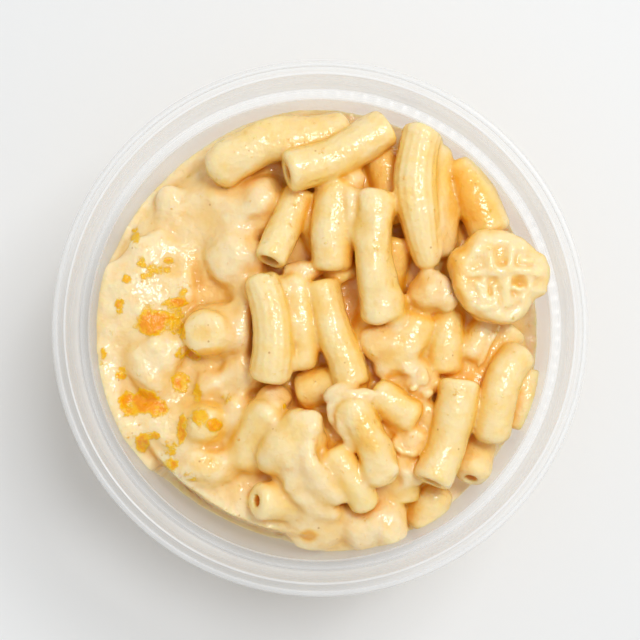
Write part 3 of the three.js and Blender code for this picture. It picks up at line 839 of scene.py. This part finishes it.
def new_material(name):
    """An empty material, its node tree, and the position in millimetres that its patterns are drawn in."""
    material = bpy.data.materials.new(name)
    material.use_nodes = True
    tree = material.node_tree
    tree.nodes.clear()
    place = add_node(tree, "TexCoord").outputs["Object"]
    in_mm = add_node(tree, "VectorMath", {0: place, "Scale": 1 / MM}, operation="SCALE")
    return material, tree, in_mm


def noise(tree, place, size, detail, roughness=0.5):
    """Smooth random pattern that changes over the given size in millimetres."""
    inputs = {"Vector": place, "Scale": 1 / size, "Detail": detail, "Roughness": roughness}
    return add_node(tree, "TexNoise", inputs)


def painted(tree, key):
    """The value that paint stored at each point."""
    return add_node(tree, "Attribute", attribute_name=key).outputs["Fac"]


def finish_material(tree, shader):
    add_node(tree, "OutputMaterial", {"Surface": shader})


def rgba(values):
    return (*values, 1.0)


def polypropylene(tub):
    """Injection-moulded natural polypropylene: milky and see-through, glossy inside the mould marks."""
    material, tree, place = new_material("moulded_polypropylene")
    cloud = noise(tree, place, 9.0, 2.0)
    thick = painted(tree, "haze")
    low, high = 0.9 * tub.opacity, 1.1 * tub.opacity
    drift = add_node(tree, "MapRange", {0: cloud, 1: 0.3, 2: 0.7, 3: low, 4: high})
    haze = add_node(tree, "Math", {0: drift, 1: thick}, operation="MULTIPLY")
    grazing = add_node(tree, "LayerWeight", {"Blend": 0.4}).outputs["Facing"]
    edge = add_node(tree, "MapRange", {0: grazing, 1: 0.2, 2: 1.0, 3: 0.0, 4: 0.15})
    stopped = add_node(tree, "Math", {0: haze, 1: edge}, operation="ADD", use_clamp=True)
    shader = add_node(tree, "BsdfPrincipled", {
        "Base Color": rgba(tub.tint), "Roughness": 0.2, "IOR": 1.49, "Alpha": stopped,
    })
    finish_material(tree, shader)
    return material


def tint_by_exposure(tree, place, colours, full):
    """Colour of sauce or pasta, with painted shade: darker and oranger in gaps and hollows, its own colour
    as open as full.
    """
    drift = noise(tree, place, 6.0, 3.0)
    # Painted shade and light: less open space round a point, as in gaps and hollows, takes it towards the
    # dark end of the ramp, and facing up takes it towards the pale end.
    exposed = painted(tree, "exposed")
    settled = painted(tree, "settled")
    open_top = add_node(tree, "Math", {0: settled, 1: 0.36, 2: exposed}, operation="MULTIPLY_ADD")
    uneven = add_node(tree, "Math", {0: drift, 1: 0.34, 2: open_top}, operation="MULTIPLY_ADD")
    level = add_node(tree, "Math", {0: uneven, 1: 0.42}, operation="SUBTRACT")
    stops = [(at, rgba(tint)) for at, tint in zip((0.13, 0.29, full - 0.22, full), colours)]
    even = add_node(tree, "ValToRGB", {0: level}, stops)
    thin_places = noise(tree, place, 4.0, 2.0)
    worn = add_node(tree, "MapRange", {0: thin_places, 1: 0.48, 2: 0.68, 3: 0.0, 4: 0.45})
    return add_node(tree, "MixRGB", {0: worn, 1: even, 2: rgba(colours[2])})


def film_tint(tree, place, settings):
    """Colour of pasta under a thin film of sauce, with painted shade in the gaps and on its sides."""
    sauce = settings.sauce
    colours = sauce.deep_gap_shade, sauce.low_gap_shade, sauce.golden_and_side_shade, settings.pasta.pale
    return tint_by_exposure(tree, place, colours, 0.72)


# Light goes about 2 mm into cooked flour and cheese, and its red part goes furthest.
SCATTER = {"Subsurface Weight": 1.0, "Subsurface Radius": (2.0, 1.5, 0.8), "Subsurface Scale": MM}


def cheese_sauce(settings):
    """Thick cheddar sauce, cooked and set by cooling: light goes well into it, and its skin is wet.

    Baked spots are darker, oily and blistered. Where the sauce is a thin film, the pasta below tints it.
    """
    sauce = settings.sauce
    material, tree, place = new_material("cooked_cheese_sauce")
    # Painted shade: the thick sauce's colour darkens on its slopes and in its hollows, and the thin film's
    # in gaps and on sides.
    thick = tint_by_exposure(tree, place, (sauce.hollow_shade, sauce.hollow_shade, sauce.shaded, sauce.cream), 0.66)
    thin = film_tint(tree, place, settings)
    film = painted(tree, "film")
    depth = add_node(tree, "MapRange", {0: film, 1: 0.0, 2: 1.2})
    cream = add_node(tree, "MixRGB", {0: depth, 1: thin, 2: thick})
    baked = painted(tree, "baked")
    blister = noise(tree, place, 1.8, 4.0, 0.6)
    toasted = add_node(tree, "Math", {0: blister, 1: 2.2, 2: baked}, operation="MULTIPLY_ADD")
    crust = add_node(tree, "MapRange", {0: toasted, 1: 1.36, 2: 1.86}, interpolation_type="SMOOTHSTEP")
    dark = add_node(tree, "MapRange", {0: toasted, 1: 1.8, 2: 2.3}, interpolation_type="SMOOTHSTEP")
    toast = add_node(tree, "MixRGB", {0: dark, 1: rgba(sauce.browned), 2: rgba(sauce.browned_deep)})
    base = add_node(tree, "MixRGB", {0: crust, 1: cream, 2: toast})
    spots = add_node(tree, "TexVoronoi", {"Vector": place, "Scale": 1 / 4.5})
    speck = add_node(tree, "MapRange", {0: spots.outputs["Distance"], 1: 0.03, 2: 0.075, 3: 0.55, 4: 0.0})
    base = add_node(tree, "MixRGB", {0: speck, 1: base, 2: rgba(sauce.pepper)})
    ripple = noise(tree, place, 1.4, 2.0, 0.4)
    relief = add_node(tree, "Math", {0: blister, 1: crust}, operation="MULTIPLY")
    height = add_node(tree, "Math", {0: relief, 1: 1.5, 2: ripple}, operation="MULTIPLY_ADD")
    bump = add_node(tree, "Bump", {"Height": height, "Strength": 1.0, "Distance": 0.36 * MM})
    shader = add_node(tree, "BsdfPrincipled", {
        "Base Color": base, "Roughness": 0.45, "IOR": 1.45, "Specular IOR Level": 0.3, "Normal": bump,
        "Coat Weight": 0.75, "Coat Roughness": 0.15, "Coat IOR": 1.47, "Coat Normal": bump,
        **SCATTER,
    })
    finish_material(tree, shader)
    return material


def boiled_pasta(settings):
    """Boiled durum wheat pasta under a thin film of sauce: pale, wet, and clear enough to glow."""
    material, tree, place = new_material("boiled_durum_pasta")
    # Its colour carries painted shade: darker in the gaps and on its sides, paler on open tops.
    base = film_tint(tree, place, settings)
    ripple = noise(tree, place, 1.1, 4.0, 0.6)
    bump = add_node(tree, "Bump", {"Height": ripple, "Strength": 0.5, "Distance": 0.25 * MM})
    shader = add_node(tree, "BsdfPrincipled", {
        "Base Color": base, "Roughness": 0.25, "IOR": 1.42, "Normal": bump, **SCATTER,
    })
    finish_material(tree, shader)
    return material


# ---- Operators -----------------------------------------------------------------------------------


class MACTUB_OT_stage(bpy.types.Operator):
    """Sets the camera, the pale floor and the soft lights"""

    bl_idname = "mactub.stage"
    bl_label = "Stage"

    def execute(self, context):
        stage = context.scene.mactub.stage
        place, look = camera_place(stage)
        camera_data = bpy.data.cameras.new("camera")
        camera_data.sensor_width = SENSOR
        camera_data.lens = LENS
        camera_data.clip_start, camera_data.clip_end = 0.01, 20
        camera = bpy.data.objects.new("camera", camera_data)
        camera.location = place * MM
        camera.rotation_euler = Vector(look).to_track_quat("-Z", "Y").to_euler()
        context.scene.collection.objects.link(camera)
        context.scene.camera = camera

        material, tree, _ = new_material("painted_board")
        shader = add_node(tree, "BsdfPrincipled", {"Base Color": rgba(stage.floor), "Roughness": 0.7})
        finish_material(tree, shader)
        corners = [(x * FLOOR_HALF, y * FLOOR_HALF, 0) for x, y in ((-1, -1), (1, -1), (1, 1), (-1, 1))]
        floor = mesh_object("studio_floor", corners, [(0, 1, 2, 3)], material)

        key_data = bpy.data.lights.new("key_softbox", "AREA")
        key_data.shape = "DISK"
        key_data.size = stage.key_size
        key_data.energy = stage.key_power
        key = bpy.data.objects.new("key_softbox", key_data)
        key.location = Vector(KEY_PLACE) * MM
        key.rotation_euler = (Vector(KEY_TARGET) - Vector(KEY_PLACE)).to_track_quat("-Z", "Y").to_euler()
        context.scene.collection.objects.link(key)

        world = bpy.data.worlds.new("studio_sky")
        world.use_nodes = True
        background = world.node_tree.nodes["Background"]
        background.inputs["Color"].default_value = (1, 1, 1, 1)
        background.inputs["Strength"].default_value = stage.sky
        context.scene.world = world
        context.scene.view_settings.view_transform = "Standard"
        return {"FINISHED"}


class MACTUB_OT_tub(bpy.types.Operator):
    """Makes the moulded plastic tub with its rolled rim and ribbed ledge"""

    bl_idname = "mactub.tub"
    bl_label = "Plastic tub"

    def execute(self, context):
        tub = context.scene.mactub.tub
        steps = RIB_STEPS * round(2 * math.pi * LEDGE_OUTER * MM / tub.rib_pitch)
        vertices, faces = turned(tub_outline(tub), steps)
        piece = mesh_object("plastic_tub", raise_ribs(vertices, steps), faces, polypropylene(tub))
        radius = np.hypot(vertices[:, 0], vertices[:, 1])
        haze = np.interp(radius, *zip(*HAZE))
        paint(piece, haze=np.where(vertices[:, 2] > LEDGE_HEIGHT - 1, haze, HAZE[0][1]))
        hand_over(piece, "tub_plastic", "tub")
        return {"FINISHED"}


def pool_height(x, y):
    """Height of the sauce's surface away from its swellings."""
    radius = np.hypot(x, y)
    azimuth = np.degrees(np.arctan2(y, x)) % 360
    pool = POOL_HIGH + (POOL_LOW - POOL_HIGH) * smooth_step(*POOL_STEP, x)
    edge = wall_radius(pool)
    cliff = along(CLIFFS, azimuth)
    bank = BANK_WIDTHS[0] + (BANK_WIDTHS[1] - BANK_WIDTHS[0]) * smooth_step(-5, 15, x)
    bank = bank + 4 * smooth_step(100, 125, azimuth) * smooth_step(180, 140, azimuth)
    top = edge - bank + cliff * (bank - 4.4)
    foot = edge - 1.4 - 1.6 * cliff
    return pool + (along(WALL_LEVELS, azimuth) - pool) * smooth_step(top, foot, radius)


FOOD_LOW, FOOD_HIGH = (-51.4, -51.4, 25), (51.4, 51.4, 68.5)  # corners of the food's grid
FILM_LEVEL = 59.0  # of most of the film, for the places where it has curdled
WALL_GAP = 0.12  # how far the sauce reaches into the wall, so that no air shows between them
EXPOSURE_REACHES = (3, 6, 12)  # open space round a point is the mean over these
MOUTH_OUTSIDE, MOUTH_DEPTH, MOUTH_SLANT = 2.5, 3.4, 0.4  # of an open bore, from the macaroni's end
STEEPEST = 2.2  # the pool's waves grow with its slope only up to this
SAUCE_TRIANGLES = 190000


class Filling(NamedTuple):
    """The food's surfaces on one grid."""

    field: Field  # distances to the sauce's surface
    pasta: np.ndarray  # distances to the nearest macaroni, without its film of sauce
    exposed: np.ndarray  # share of open space round each sample


def carve(field, line, bore, end):
    """Opens the mouth of a macaroni's bore at one end, slanting down so that it shows from above."""
    inward = (line[1] - line[0]) if end == 0 else (line[-2] - line[-1])
    inward = inward / np.linalg.norm(inward) - np.array([0, 0, MOUTH_SLANT])
    hole = np.array([line[end] - inward * MOUTH_OUTSIDE, line[end] + inward * MOUTH_DEPTH])
    cut, x, y, z = field.near(hole, 4)
    ends = np.array([0, MOUTH_OUTSIDE + MOUTH_DEPTH])
    distance = tube_distance(hole, ends, np.array([bore, bore]), 0.3, x, y, z)
    field.values[cut] = -smooth_low(-field.values[cut], distance, 0.5)


@functools.lru_cache(maxsize=1)
def filling(cell, full, ridge_pitch, camera):
    """The pool, its swellings, the film on the macaroni, fillets, strands and bores, all as one surface."""
    camera = np.array(camera)
    field = Field(FOOD_LOW, FOOD_HIGH, cell)
    x, y, z = field.axes[0][:, None], field.axes[1][None, :], field.axes[2]
    height = pool_height(x, y)
    slope = np.gradient(height, field.cell)
    steep = np.minimum(np.sqrt(1 + slope[0] ** 2 + slope[1] ** 2), STEEPEST)
    field.values = ((z[None, None, :] - height[:, :, None]) / steep[:, :, None]).astype(np.float32)
    field.values -= 0.9 * field.noise(10, 6.5)
    pasta = np.full_like(field.values, 50)
    warp = [0.8 * field.noise(21 + i, 6.5) + 0.35 * field.noise(31 + i, 3.2) for i in range(3)]

    for blob in BLOBS:
        middle = seen(camera, *blob.place)
        cut, *place = field.near(middle, max(blob.half) + blob.soft + 2.5)
        place = [p + w[cut] for p, w in zip(place, warp)]
        field.join(cut, blob_distance(middle, blob.half, blob.turn, *place), blob.soft)

    lines = []
    for seed, tube in enumerate(MACARONI + SUNK):
        line, at = smooth_line([seen(camera, *p) for p in tube.line], 14)
        lines.append(line)
        radius = tube_radius(tube, at, seed)
        cut, *place = field.near(line, tube.width / 2 + 3.5)
        place = [p + (0.1 + 0.9 * tube.film**2) * w[cut] for p, w in zip(place, warp)]
        ridges = round(math.pi * tube.width / ridge_pitch)
        distance = tube_distance(line, at, radius, tube.edge, *place, tube.ridge, ridges)
        pasta[cut] = np.minimum(pasta[cut], distance)
        field.join(cut, distance - full * tube.film, tube.soft)

    for strand in STRANDS:
        line, at = smooth_line([seen(camera, *p) for p in strand.line], 8)
        cut, *place = field.near(line, strand.radius + 2.5)
        place = [p + 0.6 * w[cut] for p, w in zip(place, warp)]
        distance = tube_distance(line, at, np.full(8, strand.radius), strand.radius * 0.9, *place)
        field.join(cut, distance, strand.soft)

    x_seen, y_seen = (v * (camera[2] - POOL_LEVEL) / (camera[2] - FILM_LEVEL) for v in (x, y))
    grain = sum(np.exp(-(((x_seen - a) / c) ** 2) - ((y_seen - b) / d) ** 2) for a, b, c, d in CURDLED)
    field.values += 0.55 * grain[:, :, None].astype(np.float32) * field.noise(13, 1.5)
    thick = smooth_step(0.1, 0.6, pasta - field.values)
    field.values += (0.2 + 0.8 * thick) * (0.66 * field.noise(11, 3.4) + 0.36 * field.noise(12, 1.7))

    for tube, line in zip(MACARONI + SUNK, lines):
        for end, bore in ((0, tube.bores[0]), (-1, tube.bores[1])):
            if bore:
                carve(field, line, bore, end)

    wall = np.hypot(x, y)[:, :, None] - (wall_radius(z) + WALL_GAP)[None, None, :]
    field.values = np.maximum(field.values, wall.astype(np.float32))
    exposed = sum(field.exposure(reach) for reach in EXPOSURE_REACHES) / len(EXPOSURE_REACHES)
    return Filling(field, pasta, exposed)


def scene_filling(settings):
    """The filling for the scene's settings, and where the camera stands."""
    camera, _ = camera_place(settings.stage)
    sauce, pasta = settings.sauce, settings.pasta
    return filling(sauce.cell / MM, sauce.film / MM, pasta.ridge_pitch / MM, tuple(camera)), camera


def walk_loop(faces, count):
    """The one open edge loop of a mesh, as vertex numbers in order."""
    edges = np.vstack([faces[:, [i, (i + 1) % 4]] for i in range(4)]).astype(np.int64)
    key = edges[:, 0] * count + edges[:, 1]
    back = edges[:, 1] * count + edges[:, 0]
    open_edges = edges[~np.isin(key, back)]
    follow = dict(open_edges.tolist())
    loop = [int(open_edges[0, 0])]
    while (nxt := follow[loop[-1]]) != loop[0]:
        loop.append(nxt)
    return loop


def main_part(vertices, quads):
    """The largest connected part of a surface, without loose flecks and the pockets inside it."""
    part = np.arange(len(vertices))
    ends = np.vstack([quads[:, [i, i + 1]] for i in range(3)])
    while True:
        low = part[ends].min(1)
        joined = part.copy()
        np.minimum.at(joined, part[ends[:, 0]], low)
        np.minimum.at(joined, part[ends[:, 1]], low)
        joined = joined[joined]
        if (joined == part).all():
            break
        part = joined
    kept = part == np.bincount(part).argmax()
    number = np.cumsum(kept) - 1
    return vertices[kept], number[quads[kept[quads[:, 0]]]]


def close_below(vertices, faces):
    """Carries the open lower edge down the wall to the tub's base, and closes it."""
    loop = walk_loop(faces, len(vertices))
    angles = np.arctan2(vertices[loop, 1], vertices[loop, 0])
    faces = faces.tolist()
    previous = loop
    levels = [(z, wall_radius(z) + WALL_GAP) for z in (20, 15, 10, 6, BASE_TOP + 2)]
    levels += [(BASE_TOP + 0.6, wall_radius(BASE_TOP) - 0.4), (BASE_TOP - 0.1, wall_radius(BASE_TOP) - 1.8)]
    for z, radius in levels:
        ring = np.stack([radius * np.cos(angles), radius * np.sin(angles), np.full(len(loop), z)], -1)
        fresh = list(range(len(vertices), len(vertices) + len(loop)))
        vertices = np.vstack([vertices, ring])
        count = len(loop)
        for i in range(count):
            j = (i + 1) % count
            faces.append([previous[j], previous[i], fresh[i], fresh[j]])
        previous = fresh
    vertices = np.vstack([vertices, [0, 0, levels[-1][0]]])
    middle = len(vertices) - 1
    faces += [[previous[(i + 1) % len(loop)], previous[i], middle] for i in range(len(loop))]
    return vertices, faces


def spot_amount(spots, vertices, camera):
    """How far each point of the sauce lies inside one of the spots, from 0 to the spot's strength."""
    level = camera + (vertices - camera) * ((POOL_LEVEL - camera[2]) / (vertices[:, 2:] - camera[2]))
    amount = np.zeros(len(vertices))
    for x, y, long, wide, turn, strength in spots:
        c, s = math.cos(math.radians(turn)), math.sin(math.radians(turn))
        u = ((level[:, 0] - x) * c + (level[:, 1] - y) * s) / long
        v = ((level[:, 1] - y) * c - (level[:, 0] - x) * s) / wide
        amount = np.maximum(amount, strength * smooth_step(0, 1, 1.6 - np.hypot(u, v)))
    return amount * (vertices[:, 2] > 45)


class MACTUB_OT_sauce(bpy.types.Operator):
    """Makes the cheese sauce: the pool with its swellings, the film on the macaroni and the baked spots"""

    bl_idname = "mactub.sauce"
    bl_label = "Cheese sauce"

    def execute(self, context):
        settings = context.scene.mactub
        food, camera = scene_filling(settings)
        surface, quads = main_part(*food.field.surface())
        vertices, faces = close_below(surface, quads)
        piece = mesh_object("cheese_sauce_filling", vertices, faces, cheese_sauce(settings))
        points = thin_out(piece, SAUCE_TRIANGLES)
        # Painted light and shade for the sauce's colour: open space round each point, lowered at the oil
        # and shade spots.
        painted_light = food.field.sample(food.exposed, points) - 0.4 * spot_amount(OIL_AND_SHADE_SPOTS, points, camera)
        facing = food.field.facing_up(points)
        to_wall = wall_radius(points[:, 2]) - np.hypot(points[:, 0], points[:, 1])
        # Painted light: sauce low down and against the wall, which lies in shade, is lifted towards its
        # pale colours.
        painted_light_on_wall = smooth_step(1.5, 0.3, to_wall) * smooth_step(0.6, 0.2, facing)
        painted_light = np.maximum(painted_light, 0.72 * np.maximum(smooth_step(52, 44, points[:, 2]), painted_light_on_wall))
        baked = spot_amount(BAKED, points, camera) * smooth_step(-0.05, 0.15, facing)
        film = food.field.sample(food.pasta, points)
        paint(piece, baked=baked, film=film, exposed=painted_light, settled=facing)
        hand_over(piece, "cheese_sauce", "cheese_sauce")
        return {"FINISHED"}


FILM_ROOM = 0.3  # left between a macaroni's own surface and the sauce's
LEAST_FILM = 0.25


def macaroni_mesh(tube, seed, pasta, camera):
    """Vertices and quads of one macaroni: a bent ridged tube with a bore and rounded edges."""
    around, stations, edge = 40, 22, 0.7
    line, at = smooth_line([seen(camera, *p) for p in tube.line], stations)
    radius = tube_radius(tube, at, seed) - FILM_ROOM
    bore = max(pasta.bore / MM, *tube.bores)
    total = at[-1]
    turn = np.linspace(0, math.pi / 2, 5)[1:]
    end = [(total - edge + edge * math.sin(a), -edge * (1 - math.cos(a))) for a in turn]
    # Rows of points round the tube, as place along it, radius and share of the ridges: along the outside,
    # over one end, back through the bore, and over the other end.
    rows = [(s, np.interp(s, at, radius), 1.0) for s in np.linspace(edge, total - edge, stations)]
    rows += [(s, np.interp(total, at, radius) + d, 0.0) for s, d in end]
    rows += [(total, bore + 0.4, 0.0), (total - 0.4, bore, 0.0)]
    rows += [(s, bore, 0.0) for s in np.linspace(total - 2, 2, 8)]
    rows += [(0.4, bore, 0.0), (0.0, bore + 0.4, 0.0)]
    rows += [(total - s, np.interp(0, at, radius) + d, 0.0) for s, d in reversed(end)]
    tangent = np.gradient(line, axis=0)
    tangent /= np.linalg.norm(tangent, axis=1)[:, None]
    side = np.cross(tangent, [0, 0, 1])
    side /= np.linalg.norm(side, axis=1)[:, None]
    up = np.cross(side, tangent)
    angles = np.arange(around) * 2 * math.pi / around
    ridges = round(math.pi * tube.width / (pasta.ridge_pitch / MM))
    rings = []
    for s, r, ridged in rows:
        middle, a, b = (np.array([np.interp(s, at, v[:, i]) for i in range(3)]) for v in (line, side, up))
        fade = min(1, s / 3, (total - s) / 3) * ridged
        reach = r + tube.ridge * fade * np.cos(ridges * angles + seed)
        rings.append(middle + reach[:, None] * (np.cos(angles)[:, None] * a + np.sin(angles)[:, None] * b))
    i, j = np.meshgrid(np.arange(len(rows)), np.arange(around), indexing="ij")
    i2, j2 = (i + 1) % len(rows), (j + 1) % around
    quads = np.stack([i * around + j, i * around + j2, i2 * around + j2, i2 * around + j], -1)
    return np.vstack(rings), quads.reshape(-1, 4)


def sink_below(field, points, depth):
    """Moves points that lie less deep than that under a surface down to that depth."""
    for _ in range(3):
        slope = field.slope(points, 0.5)
        slope /= np.maximum(np.linalg.norm(slope, axis=1), 0.2)[:, None]
        points = points - slope * np.maximum(field.sample(field.values, points) + depth, 0)[:, None]
    return points


class MACTUB_OT_macaroni(bpy.types.Operator):
    """Makes the heap's macaroni, each with its bore and ridges"""

    bl_idname = "mactub.macaroni"
    bl_label = "Macaroni"

    def execute(self, context):
        settings = context.scene.mactub
        food, camera = scene_filling(settings)
        parts, quads, first = [], [], 0
        for seed, tube in enumerate(MACARONI):
            points, faces = macaroni_mesh(tube, seed, settings.pasta, camera)
            parts.append(points)
            quads.append(faces + first)
            first += len(points)
        vertices = sink_below(food.field, np.vstack(parts), LEAST_FILM)
        piece = mesh_object("macaroni_tubes", vertices, np.vstack(quads).tolist(), boiled_pasta(settings))
        # Painted shade: the pasta darkens where less open space is round it and lightens where it faces up.
        exposed = food.field.sample(food.exposed, vertices)
        paint(piece, exposed=exposed, settled=food.field.facing_up(vertices))
        hand_over(piece, "macaroni", "macaroni_heap")
        return {"FINISHED"}


def wheel_field():
    """Distances to the wheel's surface in its own axes: a thick disc with pockets, spokes and sauce."""
    reach = WHEEL_RADIUS + 2.6
    cell = 0.28
    field = Field((-reach - 1.5, -reach, -WHEEL_HALF - 1.5), (reach, reach, WHEEL_HALF + 2), cell)
    x, y, z = (axis.reshape([-1 if i == n else 1 for i in range(3)]) for n, axis in enumerate(field.axes))
    warp = [0.9 * field.noise(41 + i, 5.0) + 0.35 * field.noise(44 + i, 2.4) for i in range(3)]
    x, y, z = x + warp[0], y + warp[1], z + 0.5 * warp[2]
    outline = WHEEL_RADIUS * along(WHEEL_OUTLINE, np.degrees(np.arctan2(y, x)) % 360)
    round_by = np.hypot(x, y) - outline + WHEEL_EDGE
    beyond = np.abs(z) - WHEEL_HALF + WHEEL_EDGE
    field.values = rounded_edge(round_by, beyond, WHEEL_EDGE).astype(np.float32)
    lobe = blob_distance(*WHEEL_LOBE, 0, x, y, z)
    field.values = smooth_low(field.values, lobe, 0.9)
    for dent in WHEEL_DENTS:
        pocket = blob_distance((*dent.place, WHEEL_HALF + 0.3), (*dent.half, dent.depth + 0.3), 0, x, y, z)
        field.values = -smooth_low(-field.values, pocket, 1.3)
    for ridge in WHEEL_RIDGES:
        line, at = smooth_line([(*p, WHEEL_HALF - 0.35) for p in ridge.line], 8)
        distance = tube_distance(line, at, np.full(8, 0.85 * ridge.radius), ridge.radius * 0.8, x, y, z)
        field.values = smooth_low(field.values, distance, 1.2)
    field.values += 0.3 * field.noise(51, 2.6) + 0.12 * field.noise(52, 1.1)
    return field


class MACTUB_OT_wheel(bpy.types.Operator):
    """Makes the wheel-shaped pasta under its skin of sauce"""

    bl_idname = "mactub.wheel"
    bl_label = "Pasta wheel"

    def execute(self, context):
        settings = context.scene.mactub
        field = wheel_field()
        points, quads = field.surface()
        # Painted shade: darker in the pockets, towards the rim, and on the -X side, away from the key
        # light.
        exposed = 0.5 * field.exposure(2.0) + 0.5 * field.exposure(5.0)
        painted_light = 0.73 + 1.8 * (field.sample(exposed, points) - 0.6)
        painted_light -= 0.26 * smooth_step(7.8, 10.6, np.hypot(points[:, 0], points[:, 1]))
        painted_light -= 0.22 * smooth_step(5.0, 9.5, -points[:, 0])
        c, s = math.cos(WHEEL_TILT), math.sin(WHEEL_TILT)
        middle = (np.array(WHEEL_LOW) + np.array(WHEEL_HIGH)) / 2 / MM + np.array(WHEEL_SHIFT)
        x, y, z = points.T
        turned_points = np.stack([x * c + z * s, y, z * c - x * s], -1) + middle
        piece = mesh_object("pasta_wheel", turned_points, quads.tolist(), cheese_sauce(settings))
        paint(piece, exposed=painted_light, settled=field.facing_up(points), film=np.full(len(points), 0.7),
              baked=np.zeros(len(points)))
        hand_over(piece, "wheel_pasta", "wheel_pasta")
        return {"FINISHED"}


class MACTUB_PT_sidebar(bpy.types.Panel):
    """Lists the steps that make the tub and its food"""

    bl_label = "Macaroni and Cheese Tub"
    bl_idname = "MACTUB_PT_sidebar"
    bl_space_type = "VIEW_3D"
    bl_region_type = "UI"
    bl_category = "Mac and Cheese"

    def draw(self, context):
        for operator in OPERATORS:
            self.layout.operator(operator.bl_idname)


OPERATORS = (MACTUB_OT_stage, MACTUB_OT_tub, MACTUB_OT_sauce, MACTUB_OT_macaroni, MACTUB_OT_wheel)
SETTINGS = (TubSettings, SauceSettings, PastaSettings, StageSettings, MacTubSettings)
CLASSES = (*SETTINGS, *OPERATORS, MACTUB_PT_sidebar)


def register():
    for cls in CLASSES:
        bpy.utils.register_class(cls)
    bpy.types.Scene.mactub = bpy.props.PointerProperty(type=MacTubSettings)


def unregister():
    del bpy.types.Scene.mactub
    for cls in reversed(CLASSES):
        bpy.utils.unregister_class(cls)


def main():
    register()
    bpy.ops.mactub.stage()
    bpy.ops.mactub.tub()
    bpy.ops.mactub.sauce()
    bpy.ops.mactub.macaroni()
    bpy.ops.mactub.wheel()


if __name__ == "__main__":
    main()
